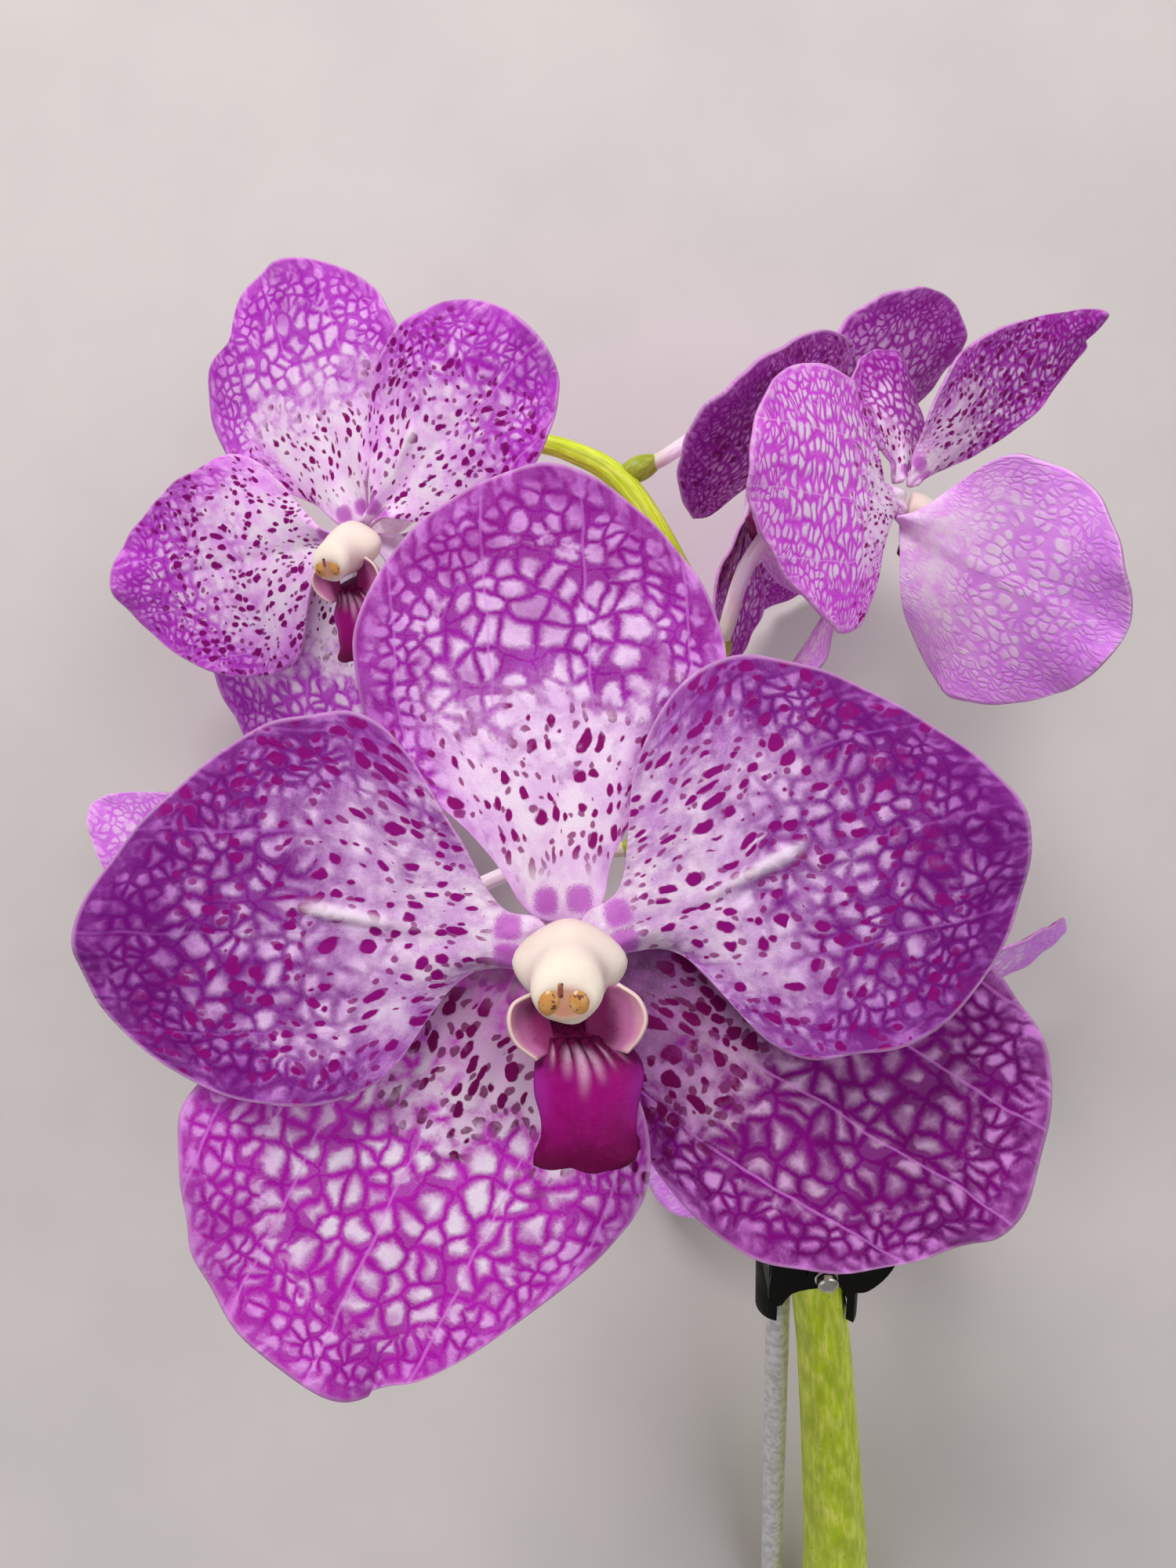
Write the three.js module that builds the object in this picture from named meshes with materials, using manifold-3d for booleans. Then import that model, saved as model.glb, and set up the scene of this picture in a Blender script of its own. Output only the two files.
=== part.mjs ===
// A cut spray of vanda orchid lying on a flat surface: a green flower stem with six netted purple
// blooms, and the spring clip and thin metal stake that hold the stem straight. Millimetres, +Z up,
// the surface at z = 0. Each bloom has five tepals (a dorsal sepal, two petals, two side sepals), a
// column, a lip and its own pedicel.
import * as THREE from "three";
import { mergeVertices } from "three/addons/utils/BufferGeometryUtils.js";
import Module from "manifold-3d";

const wasm = await Module();
wasm.setup();

// ---- Driving dimensions ----

// The points below are in a frame of their own; the part's origin is under the middle of its bounding
// box, so everything is moved by this much at the end.
const TO_PART_ORIGIN = new THREE.Vector3(2.05, 42.5, 0);

const BLADE_THICKNESS = 0.8;
const CELLS = 8; // cells each way in a tepal
const CLAW_START = 1.5; // from the bloom's axis to where a tepal begins, unless it says otherwise

// A tepal's outline: its length, and the half-widths of the ellipse that it follows at each station.
const STATIONS = [0, 0.1, 0.2, 0.35, 0.55, 0.8, 1];
const OUTLINES = {
  dorsal: {
    length: 48.5,
    left: [5, 6, 9, 16, 20.6, 21.3, 19],
    right: [5, 6.2, 9, 15, 19, 18.3, 16],
  },
  petalLeft: {
    length: 48.6,
    left: [2, 2, 5.4, 14.6, 16.6, 16.6, 16],
    right: [2, 3.1, 14, 22.8, 23, 19.5, 14],
  },
  petalRight: {
    length: 47.5,
    left: [2, 3.3, 18.5, 24, 23.3, 19, 15],
    right: [2, 2.5, 5.2, 16.3, 18.8, 20, 17],
  },
  sepalLeft: {
    length: 56.5,
    left: [4, 12, 19, 20, 17.2, 12, 3],
    right: [4, 6, 12, 22, 28.5, 29, 42],
  },
  sepalRight: {
    length: 60,
    left: [4, 6, 12, 19, 22, 24.5, 29],
    right: [4, 6, 10, 14.5, 17, 16, 13],
  },
  broadDorsal: {
    length: 45.5,
    left: [5, 6, 10, 18, 24, 24, 22],
    right: [5, 6, 9, 15, 19, 20, 18],
  },
  longPetal: {
    length: 54.5,
    left: [2, 3, 10, 20, 21, 18, 14],
    right: [2, 5, 14, 19, 17, 14, 12],
  },
  slimPetal: {
    length: 45,
    left: [2, 3, 8, 14, 17, 19, 19],
    right: [2, 2.5, 8, 14, 15, 15, 16],
  },
  smallDorsal: {
    length: 28,
    left: [3, 4, 7, 10, 11, 11, 10],
    right: [3, 4, 7, 10, 11, 11, 10],
  },
  wedgePetal: {
    length: 51,
    left: [3, 6, 11, 15, 16, 12, 9],
    right: [3, 6, 11, 15, 16, 12, 9],
  },
  tallPetal: {
    length: 56,
    left: [3, 6, 11, 14.5, 13, 9, 7],
    right: [3, 3.5, 5, 6, 6.5, 6, 6],
  },
  roundSepal: {
    length: 46,
    left: [3, 11, 20, 25, 24, 21, 19],
    right: [2.5, 6, 13, 19, 20, 20, 19],
  },
  plainSepal: {
    length: 50,
    left: [3, 5, 9, 14, 16, 15, 14],
    right: [3, 5, 9, 14, 16, 15, 14],
  },
  youngSepal: {
    length: 28,
    left: [2, 2.5, 4.5, 7, 8, 8, 7],
    right: [2, 2.5, 4.5, 7, 8, 8, 7],
  },
  slimSepal: {
    length: 44,
    left: [3, 4.5, 7.5, 11, 13, 14, 14],
    right: [3, 4.5, 7.5, 11, 13, 14, 14],
  },
};

// Heights of the tepals' roots over the bloom's plane: petals lie in front of the sepals, and the left
// side sepal in front of the right one.
const PETAL_LAYER = 1.3;
const LEFT_SEPAL_LAYER = 0.35;
const RIGHT_SEPAL_LAYER = -0.45;

// A bloom's facing and up set how it is turned, its node is where its pedicel leaves the stem, and its
// cells say how finely its tepals are divided. Each tepal has
// - its outline, and the azimuth it points at, clockwise from the bloom's top, seen from its front;
// - its pitch towards the viewer, its bend along its length and its twist about it, in degrees;
// - cup, how far its side edges lift, and wave, the rim's height, count of waves and phase;
// - from, how far from the bloom's axis it begins, and the layer it lies in;
// - notch, the angle, depth and width of a notch in its rim.
const BLOOMS = [
  {
    name: "front",
    cells: 10,
    hub: [-2.3, -16.1, 100],
    facing: [0, 0, 1],
    up: [0, 1, 0],
    scale: 1,
    node: [21, -36, 54.5],
    pedicel: [[15.5, -33, 64], [6, -24, 78], [-1.5, -17, 90]],
    tepals: {
      dorsal_sepal: {
        outline: "dorsal", azimuth: -4, pitch: 0, bend: -6, cup: -3, wave: [0.7, 5, 0.4],
      },
      petal_left: {
        outline: "petalLeft", azimuth: 270, pitch: 4, bend: -8, cup: -1, layer: PETAL_LAYER,
        wave: [1, 4, 1],
      },
      petal_right: {
        outline: "petalRight", azimuth: 76, pitch: 3, bend: -8, cup: -2, layer: PETAL_LAYER,
        wave: [1, 4, 2],
      },
      sepal_left: {
        outline: "sepalLeft", azimuth: 206, pitch: -4.6, bend: -8, cup: 1, layer: LEFT_SEPAL_LAYER,
        wave: [1.1, 6, 0.5],
      },
      sepal_right: {
        outline: "sepalRight", azimuth: 123, pitch: -8, bend: -6, cup: 2, layer: RIGHT_SEPAL_LAYER,
        wave: [0.9, 5, 1.5],
      },
    },
  },
  {
    name: "upper_left",
    hub: [-33.8, 37.5, 46],
    facing: [-0.34, -0.32, 0.88],
    up: [0, 1, 0],
    scale: 0.86,
    node: [-9.5, 54, 38],
    pedicel: [[-17, 53, 34], [-27, 45, 33]],
    tepals: {
      dorsal_sepal: {
        outline: "broadDorsal", azimuth: -15, pitch: -3, bend: -6, cup: -3, notch: [-38, 0.16, 11],
        wave: [0.8, 6, 0],
      },
      petal_left: {
        outline: "longPetal", azimuth: 263, pitch: 1, bend: -4, cup: -1, layer: PETAL_LAYER,
        wave: [1.2, 5, 1],
      },
      petal_right: {
        outline: "slimPetal", azimuth: 53, pitch: 1, bend: -6, cup: -1, layer: PETAL_LAYER,
        wave: [1, 5, 2],
      },
      sepal_left: {
        outline: "sepalLeft", azimuth: 202, pitch: -5, bend: -6, cup: 1, layer: LEFT_SEPAL_LAYER,
        wave: [1, 6, 0.5],
      },
      sepal_right: {
        outline: "slimSepal", azimuth: 121, pitch: -8, bend: -6, cup: 1, layer: RIGHT_SEPAL_LAYER,
        wave: [0.9, 5, 1.5],
      },
    },
  },
  {
    name: "right_near",
    hub: [44.2, 40.8, 52],
    facing: [0.94, -0.25, 0.1],
    up: [0.26, 0.96, 0],
    scale: 0.79,
    node: [17.8, 17.2, 50],
    pedicel: [[19.4, 21.5, 54.5], [22.5, 31, 58], [31.5, 40.5, 56.5]],
    tepals: {
      dorsal_sepal: {
        outline: "smallDorsal", azimuth: 12, pitch: -12, bend: -8, cup: -2, twist: -50, from: 4,
        wave: [0.6, 5, 0.4],
      },
      petal_left: {
        outline: "petalRight", azimuth: 257, pitch: -25, bend: -22, cup: -2, twist: 18, from: 3,
        layer: PETAL_LAYER, wave: [0.9, 4, 1],
      },
      petal_right: {
        outline: "tallPetal", azimuth: 18, pitch: 32, bend: 0, cup: -1, twist: -38, from: 4,
        layer: PETAL_LAYER, notch: [20, 0.12, 12], wave: [0.9, 4, 2],
      },
      sepal_left: {
        outline: "roundSepal", azimuth: 233, pitch: 50, bend: 4, cup: 2, from: 7.6,
        layer: LEFT_SEPAL_LAYER, wave: [1.1, 6, 0.5],
      },
      sepal_right: {
        outline: "slimSepal", azimuth: 160, pitch: -16, bend: 0, cup: 2, from: 3,
        layer: RIGHT_SEPAL_LAYER, wave: [0.9, 5, 1.5],
      },
    },
  },
  {
    name: "right_far",
    hub: [28, 48, 38],
    facing: [0.69, -0.7, 0.1],
    up: [0.72, 0.69, 0],
    scale: 0.79,
    node: [4.5, 46.2, 44.5],
    pedicel: [[11, 49, 44.5], [18, 53.5, 42], [23.5, 53, 39]],
    tepals: {
      dorsal_sepal: {
        outline: "dorsal", azimuth: 3, pitch: 7, bend: 0, cup: -3, twist: -22, wave: [0.8, 5, 0.4],
      },
      petal_left: {
        outline: "petalLeft", azimuth: 259, pitch: 4, bend: -26, from: 3, cup: -2,
        layer: PETAL_LAYER, wave: [0.9, 4, 1],
      },
      petal_right: {
        outline: "petalRight", azimuth: 90, pitch: 8, bend: 20, cup: -2, from: 3,
        layer: PETAL_LAYER, wave: [0.9, 4, 2],
      },
      sepal_left: {
        outline: "youngSepal", azimuth: 234, pitch: 67, bend: 4, cup: 1, from: 9,
        layer: LEFT_SEPAL_LAYER, wave: [0.8, 6, 0.5],
      },
      sepal_right: {
        outline: "slimSepal", azimuth: 142, pitch: 26, bend: 8, cup: 2, from: 4,
        layer: RIGHT_SEPAL_LAYER, wave: [0.9, 5, 1.5],
      },
    },
  },
  {
    name: "left_low",
    cells: 6,
    hub: [-49, -27, 20],
    facing: [-0.3, 0.05, -0.95],
    up: [0.39, 0.92, 0],
    scale: 0.79,
    node: [11.3, -9, 53],
    pedicel: [[1, -9.6, 53], [-10, -12.4, 50], [-26, -20, 42], [-40, -26, 33]],
    tepals: {
      dorsal_sepal: {
        outline: "smallDorsal", azimuth: 0, pitch: 5, bend: -4, cup: -2, wave: [0.8, 5, 0.4],
      },
      petal_left: {
        outline: "wedgePetal", azimuth: 280, pitch: 4, bend: 8, cup: -1, from: 3,
        layer: PETAL_LAYER, wave: [0.9, 4, 1],
      },
      petal_right: {
        outline: "wedgePetal", azimuth: 78, pitch: 9, bend: 8, cup: -1, from: 3,
        layer: PETAL_LAYER, wave: [0.9, 4, 2],
      },
      sepal_left: {
        outline: "plainSepal", azimuth: 216, pitch: 14, bend: 44, cup: 1, layer: LEFT_SEPAL_LAYER,
        wave: [1.1, 6, 0.5],
      },
      sepal_right: {
        outline: "slimSepal", azimuth: 144, pitch: 8, bend: 60, cup: 1, layer: RIGHT_SEPAL_LAYER,
        wave: [0.9, 5, 1.5],
      },
    },
  },
  {
    name: "right_low",
    cells: 6,
    hub: [44, -45, 20],
    facing: [0.27, -0.1, -0.95],
    up: [0.55, -0.83, 0],
    scale: 0.79,
    node: [30.4, -56, 58.8],
    pedicel: [[38, -56, 55], [45, -51, 42]],
    tepals: {
      dorsal_sepal: {
        outline: "smallDorsal", azimuth: 0, pitch: 2, bend: -6, cup: -2, wave: [0.8, 5, 0.4],
      },
      petal_left: {
        outline: "longPetal", azimuth: 278, pitch: 2, bend: 8, cup: -1, from: 3,
        layer: PETAL_LAYER, wave: [0.9, 4, 2],
      },
      petal_right: {
        outline: "wedgePetal", azimuth: 88, pitch: 4, bend: 0, cup: -1, twist: 72, from: 3,
        layer: PETAL_LAYER, wave: [0.9, 4, 1],
      },
      sepal_left: {
        outline: "slimSepal", azimuth: 215, pitch: 14, bend: 54, cup: 1, layer: LEFT_SEPAL_LAYER,
        wave: [1.1, 6, 0.5],
      },
      sepal_right: {
        outline: "plainSepal", azimuth: 149, pitch: 14, bend: 50, cup: 1, layer: RIGHT_SEPAL_LAYER,
        wave: [0.9, 5, 1.5],
      },
    },
  },
];

// The column of a bloom, in the bloom's own frame: height over its plane, its centre and its half-axes.
const COLUMN_RINGS = [
  { z: 2.75, y: -1.2, across: 4.3, high: 3.4 },
  { z: 3.5, y: -1.3, across: 5.4, high: 4.1 },
  { z: 5, y: -1.9, across: 5.5, high: 4.1 },
  { z: 6.8, y: -2.6, across: 4.3, high: 3.8 },
  { z: 8.6, y: -3.2, across: 3.7, high: 3.5 },
  { z: 11.6, y: -4.2, across: 3.6, high: 3.4 },
  { z: 12.7, y: -4.5, across: 2.8, high: 2.7 },
];
const ANTHER = { radius: 1.6, apart: 1.5, y: -4.2, z: 12.3 };

// The lip, in the bloom's own frame: a throat under the column, two leaning side lobes and a
// square-ended midlobe.
const THROAT_RINGS = [
  { z: 3, x: 0, y: -7.9, across: 1.8, high: 1.6 },
  { z: 5, x: 0.3, y: -8.6, across: 3.2, high: 1.8 },
  { z: 7.5, x: 0.9, y: -9.4, across: 5, high: 1.9 },
  { z: 9.6, x: 1.2, y: -10.2, across: 4.4, high: 1.7 },
];
const SIDE_LOBES = [
  { at: [-3.9, -8.1, 9.4], radii: [1.3, 2.8, 2.3], lean: 28 },
  { at: [5.9, -8, 9.4], radii: [1.3, 2.8, 2.3], lean: -28 },
];
const MIDLOBE_RINGS = [
  { y: -8.6, z: 8.2, across: 2.6, thick: 1.3, x: 0.6 },
  { y: -10, z: 8.8, across: 4.4, thick: 1.2, x: 1.5 },
  { y: -11.8, z: 9.4, across: 5.3, thick: 1.1, x: 2.2 },
  { y: -14, z: 9.8, across: 5.1, thick: 1, x: 2.3 },
  { y: -16.6, z: 10.3, across: 4.6, thick: 0.95, x: 2.2 },
  { y: -19.4, z: 10.6, across: 5, thick: 0.9, x: 2 },
  { y: -20.8, z: 10.5, across: 4.6, thick: 0.6, x: 1.9 },
];

// The pedicel: thin where it leaves its bract, thicker along the ovary, flat-headed behind the tepals.
const PEDICEL_RADIUS = 1.35;
const OVARY = { radius: 2.1, from: 0.3, to: 0.8 }; // it swells between these shares of the length
const HEAD = [
  { from: 0.999, radius: 3.2 },
  { from: 0.96, radius: 2.7 },
];
const HEAD_BELOW = 1.8; // how far the head's face lies behind the bloom's plane
const NECK_LENGTH = 5; // the straight stretch behind the head
const PEDICEL_GAP = 0.3; // between a bract and its pedicel
const PEDICEL_CLEAR = 2; // a pedicel's next point lies at least this far past its bract
const PEDICEL_RINGS = 12;

// The flower stem: points along its middle from the cut end, and its radius there.
const STEM_POINTS = [
  { at: [44.3, -158, 5.3], radius: 6 },
  { at: [43, -137, 16.8], radius: 5.5 },
  { at: [39.8, -112, 30], radius: 4.8 },
  { at: [35.4, -84, 45], radius: 4 },
  { at: [31.7, -64.8, 55.3], radius: 3.7 },
  { at: [30.4, -56, 58.8], radius: 3.6 },
  { at: [26.4, -46, 57.6], radius: 3.4 },
  { at: [21, -36, 54.5], radius: 3.3 },
  { at: [15.5, -24, 53.5], radius: 3 },
  { at: [11.3, -9, 53], radius: 2.8 },
  { at: [14.2, 4, 51.5], radius: 2.6 },
  { at: [17.8, 17.2, 50], radius: 2.5 },
  { at: [12.5, 33, 47], radius: 2.2 },
  { at: [4.5, 46.2, 44.5], radius: 1.9 },
  { at: [-3.5, 51.5, 41], radius: 1.6 },
  { at: [-9.5, 54, 38], radius: 1.5 },
  { at: [-13.5, 57.5, 36], radius: 1 },
];
const STEM_RINGS = 40;
const STEM_SIDES = 10;
const BRACT = { length: 3.2, radius: 2.5, out: 3.4 };

// The clip's own frame: its middle on the stem, y along the stem towards the blooms, z out of the top.
const CLIP_AT = new THREE.Vector3(32, -65.4, 55);
const CLIP_ALONG = new THREE.Vector3(-0.06, 0.88, 0.474);
const PIVOT = { x: 0.3, y: 1.8 };
const STAKE = { x: -4, z: -4.2, radius: 1.85, up: 4.6, down: 103 };
const JAW_THICKNESS = 1;
const FIXED_JAW_Z = 4.4;
const MOVING_JAW_Z = 5.75;
const JAW_HUB_RADIUS = 2.6;
const PIN_RADIUS = 0.8;
const PIN_HOLE_RADIUS = 0.9;
const PIN_HEAD = { radius: 1.45, thickness: 0.6 };
const SPRING = { radius: 1.4, wire: 0.25 };
const CLAW_GAP = 0.4;
const CLAW_WALL = 1.2;
// The hook goes round the stake and the prong round the stem. Angles are in degrees from +x towards
// +z, and low and high are in y.
const HOOK = {
  x: STAKE.x, z: STAKE.z, inner: STAKE.radius + CLAW_GAP, from: 104, to: 262, low: -17, high: 5.1,
};
const PRONG = { x: 0.4, z: 0, inner: 5, from: -46, to: 36, low: -12.5, high: 0.6 };
const HOOK_WEB = [-7.1, -5.6, -4, 4.6, -1.6, 4.7];
const PRONG_WEB = [5.1, 6.5, -2, 0.6, 2.4, 6.05];
const FIXED_WING = [
  [1, 4.7], [-2.6, 5.4], [-4.8, 9], [-6.6, 9.6], [-7.3, 7.2], [-6.9, 2],
  [-7.2, -4], [-5.6, -5.6], [-4, -3.2], [-1, -2.4], [2.8, -2.3], [3.6, 1],
];
const MOVING_WING = [
  [1, 4.5], [4.2, 4.9], [7.2, 8.2], [9.4, 8.2], [10.2, 5], [9, 1.2], [6.8, -1.6], [5, -2.2], [2.4, -1],
];

// ---- Finishes ----

const finish = (color, roughness, metalness = 0) =>
  new THREE.MeshStandardMaterial({ color, roughness, metalness, side: THREE.DoubleSide });
const MATERIALS = {
  tepal: finish(0xb45fc8, 0.6),
  column: finish(0xf0e4d7, 0.5),
  lip: finish(0x8c0070, 0.5),
  pedicel: finish(0xebd7d2, 0.6),
  stem: finish(0x96af3c, 0.5),
  stake: finish(0x828282, 0.5, 0.7),
  clip: finish(0x151515, 0.45),
  clipMetal: finish(0xb8b4a0, 0.3, 1),
};

// ---- Solids: lofts, blades and joins ----

const radians = THREE.MathUtils.degToRad;
const vector = (a) => new THREE.Vector3(...a);

// A closed loft through rings, each with a centre and two half-axes.
function loft(rings, sides) {
  const geometry = new THREE.CylinderGeometry(1, 1, 1, sides, rings.length - 1);
  const position = geometry.getAttribute("position");
  const point = new THREE.Vector3();
  for (let i = 0; i < position.count; i++) {
    point.fromBufferAttribute(position, i);
    const ring = rings[Math.round((point.y + 0.5) * (rings.length - 1))];
    const { x, z } = point;
    point.copy(ring.centre).addScaledVector(ring.a, x).addScaledVector(ring.b, z);
    position.setXYZ(i, point.x, point.y, point.z);
  }
  return geometry;
}

// Round rings of a tube along a curve; radius is a function of the share of the length.
function tubeRings(curve, radius, count) {
  return Array.from({ length: count + 1 }, (_, i) => {
    const t = i / count;
    const tangent = curve.getTangentAt(t);
    const a = new THREE.Vector3(1, 0.3, 0.2).projectOnPlane(tangent).normalize();
    const b = a.clone().cross(tangent);
    const r = radius(t);
    return { centre: curve.getPointAt(t), a: a.multiplyScalar(r), b: b.multiplyScalar(r) };
  });
}

// Rings of a bloom's column or throat, parallel to the bloom's plane.
const levelRings = (rows) =>
  rows.map((row) => ({
    centre: new THREE.Vector3(row.x ?? 0, row.y, row.z),
    a: new THREE.Vector3(row.across, 0, 0),
    b: new THREE.Vector3(0, -row.high, 0),
  }));

// A smooth curve through the values at STATIONS, read at share s.
function atStation(values, s) {
  const last = STATIONS.length - 1;
  const slope = (k) => {
    const [a, b] = [Math.max(k - 1, 0), Math.min(k + 1, last)];
    return (values[b] - values[a]) / (STATIONS[b] - STATIONS[a]);
  };
  let i = 0;
  while (i < last - 1 && s > STATIONS[i + 1]) i++;
  const h = STATIONS[i + 1] - STATIONS[i];
  const u = (s - STATIONS[i]) / h;
  return (
    (1 + 2 * u) * (1 - u) ** 2 * values[i] +
    u * (1 - u) ** 2 * h * slope(i) +
    u * u * (3 - 2 * u) * values[i + 1] +
    u * u * (u - 1) * h * slope(i + 1)
  );
}

// A point of a tepal in its bloom's frame, before the bloom's scale: (x, y) run from -1 to 1 over a
// square that is rounded to a disc and stretched to the outline, and lift is the height over the
// middle surface.
function tepalPoint(tepal, x, y, lift) {
  const { length, left, right } = OUTLINES[tepal.outline];
  let across = x * Math.sqrt(1 - (y * y) / 2);
  let along = y * Math.sqrt(1 - (x * x) / 2);
  const rim = Math.hypot(across, along);
  const angle = Math.atan2(across, along);
  if (tepal.notch) {
    const [at, depth, width] = tepal.notch;
    const off = (angle - radians(at)) / radians(width);
    const pull = 1 - depth * Math.exp(-off * off) * rim ** 4;
    across *= pull;
    along *= pull;
  }
  const share = (along + 1) / 2;
  across *= atStation(across > 0 ? right : left, share);
  along = length * share;
  const half = Math.max(...left, ...right);
  const [height, waves, phase] = tepal.wave;
  const ripple = height * rim ** 3 * Math.sin(waves * angle + phase);
  const z = tepal.cup * (across / half) ** 2 + ripple + lift;
  const curvature = radians(tepal.bend || 1e-3) / length;
  const turn = curvature * along;
  return new THREE.Vector3(
    across,
    Math.sin(turn) / curvature - z * Math.sin(turn),
    (1 - Math.cos(turn)) / curvature + z * Math.cos(turn),
  )
    .applyAxisAngle(new THREE.Vector3(0, 1, 0), radians(tepal.twist ?? 0))
    .applyAxisAngle(new THREE.Vector3(1, 0, 0), radians(tepal.pitch))
    .add(new THREE.Vector3(0, tepal.from ?? CLAW_START, tepal.layer ?? 0))
    .applyAxisAngle(new THREE.Vector3(0, 0, 1), -radians(tepal.azimuth));
}

// A tepal as a closed blade. What would pass below the surface it lies on is flattened on it.
function bladeGeometry(tepal, place, scale, cells) {
  const row = cells + 1;
  const half = BLADE_THICKNESS / 2 / scale;
  const points = [[], []];
  for (let j = 0; j < row; j++)
    for (let i = 0; i < row; i++) {
      const [x, y] = [(2 * i) / cells - 1, (2 * j) / cells - 1];
      const pair = [half, -half].map((lift) => tepalPoint(tepal, x, y, lift).applyMatrix4(place));
      const [low, high] = pair[0].z < pair[1].z ? pair : [pair[1], pair[0]];
      low.z = Math.max(low.z, 0);
      high.z = Math.max(high.z, BLADE_THICKNESS);
      pair.forEach((p, k) => points[k].push(p));
    }
  const index = [];
  const back = row * row;
  const face = (a, b, c) => index.push(a, b, c, back + a, back + c, back + b);
  for (let j = 0; j < cells; j++)
    for (let i = 0; i < cells; i++) {
      const [a, b] = [j * row + i, j * row + i + 1];
      const [c, d] = [b + row, a + row];
      if ((i < cells / 2) === (j < cells / 2)) {
        face(a, b, c);
        face(a, c, d);
      } else {
        face(a, b, d);
        face(b, c, d);
      }
    }
  const rim = [];
  for (let i = 0; i < cells; i++) rim.push(i);
  for (let j = 0; j < cells; j++) rim.push(j * row + cells);
  for (let i = cells; i > 0; i--) rim.push(cells * row + i);
  for (let j = cells; j > 0; j--) rim.push(j * row);
  rim.forEach((a, k) => {
    const b = rim[(k + 1) % rim.length];
    index.push(a, back + a, b, b, back + a, back + b);
  });
  const flat = points.flat().flatMap((p) => p.toArray());
  return new THREE.BufferGeometry()
    .setAttribute("position", new THREE.Float32BufferAttribute(flat, 3))
    .setIndex(index);
}

// A closed geometry as a manifold-3d solid, and back.
function toSolid(geometry) {
  const bare = geometry.clone();
  bare.deleteAttribute("normal");
  bare.deleteAttribute("uv");
  const merged = mergeVertices(bare, 1e-4);
  const mesh = new wasm.Mesh({
    numProp: 3,
    vertProperties: new Float32Array(merged.getAttribute("position").array),
    triVerts: new Uint32Array(merged.index.array),
  });
  return new wasm.Manifold(mesh);
}

function toGeometry(solid) {
  const mesh = solid.getMesh();
  return new THREE.BufferGeometry()
    .setAttribute("position", new THREE.BufferAttribute(mesh.vertProperties, 3))
    .setIndex(new THREE.BufferAttribute(mesh.triVerts, 1));
}

const join = (geometries) => toGeometry(geometries.map(toSolid).reduce((a, b) => a.add(b)));
const cut = (geometry, tools) =>
  toGeometry(tools.map(toSolid).reduce((a, b) => a.subtract(b), toSolid(geometry)));

function mesh(name, geometry, material) {
  const made = new THREE.Mesh(geometry, material);
  made.name = name;
  return made;
}

// ---- Parts of a bloom ----

function columnGeometry() {
  const anther = [-1, 1].map((side) =>
    new THREE.SphereGeometry(ANTHER.radius, 7, 5).translate(side * ANTHER.apart, ANTHER.y, ANTHER.z),
  );
  return join([loft(levelRings(COLUMN_RINGS), 10), ...anther]);
}

function lipGeometry() {
  const lobes = SIDE_LOBES.map(({ at, radii, lean }) =>
    new THREE.SphereGeometry(1, 8, 6).scale(...radii).rotateY(radians(lean)).translate(...at),
  );
  const midlobe = loft(
    MIDLOBE_RINGS.map((row) => ({
      centre: new THREE.Vector3(row.x, row.y, row.z),
      a: new THREE.Vector3(row.across, 0, 0),
      b: new THREE.Vector3(0, 0, -row.thick),
    })),
    8,
  );
  return join([loft(levelRings(THROAT_RINGS), 8), midlobe, ...lobes]);
}

// The frame of a bloom: x to its right, y to its top and z out of its face.
function bloomPlace(bloom) {
  const facing = vector(bloom.facing).normalize();
  const up = vector(bloom.up).projectOnPlane(facing).normalize();
  const right = up.clone().cross(facing);
  const s = bloom.scale;
  const turn = new THREE.Matrix4().makeBasis(right, up, facing);
  return turn.scale(new THREE.Vector3(s, s, s)).setPosition(...bloom.hub);
}

// The direction in which a bloom's pedicel leaves the stem, and where its bract ends.
function leaving(bloom) {
  const direction = vector(bloom.pedicel[0]).sub(vector(bloom.node)).normalize();
  const start = vector(bloom.node).addScaledVector(direction, BRACT.out + BRACT.length + PEDICEL_GAP);
  return { direction, start };
}

function pedicelRadius(bloom, t) {
  const flare = HEAD.find((part) => t > part.from);
  if (flare) return flare.radius * bloom.scale;
  const swell = THREE.MathUtils.smoothstep(t, OVARY.from, OVARY.to);
  return THREE.MathUtils.lerp(PEDICEL_RADIUS, OVARY.radius, swell) * Math.sqrt(bloom.scale);
}

function pedicelGeometry(bloom) {
  const facing = vector(bloom.facing).normalize();
  const head = vector(bloom.hub).addScaledVector(facing, -HEAD_BELOW * bloom.scale);
  const neck = head.clone().addScaledVector(facing, -NECK_LENGTH * bloom.scale);
  const { start } = leaving(bloom);
  const reach = BRACT.out + BRACT.length + PEDICEL_CLEAR;
  const middle = bloom.pedicel.map(vector).filter((p) => p.distanceTo(vector(bloom.node)) > reach);
  const curve = new THREE.CatmullRomCurve3([start, ...middle, neck, head]);
  return loft(tubeRings(curve, (t) => pedicelRadius(bloom, t), PEDICEL_RINGS), 8);
}

function addBloom(group, bloom) {
  const place = bloomPlace(bloom);
  const cells = bloom.cells ?? CELLS;
  for (const [name, tepal] of Object.entries(bloom.tepals)) {
    const blade = bladeGeometry(tepal, place, bloom.scale, cells);
    group.add(mesh(`${bloom.name}_${name}`, blade, MATERIALS.tepal));
  }
  group.add(mesh(`${bloom.name}_column`, columnGeometry().applyMatrix4(place), MATERIALS.column));
  group.add(mesh(`${bloom.name}_lip`, lipGeometry().applyMatrix4(place), MATERIALS.lip));
  group.add(mesh(`${bloom.name}_pedicel`, pedicelGeometry(bloom), MATERIALS.pedicel));
}

// ---- The flower stem ----

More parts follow.
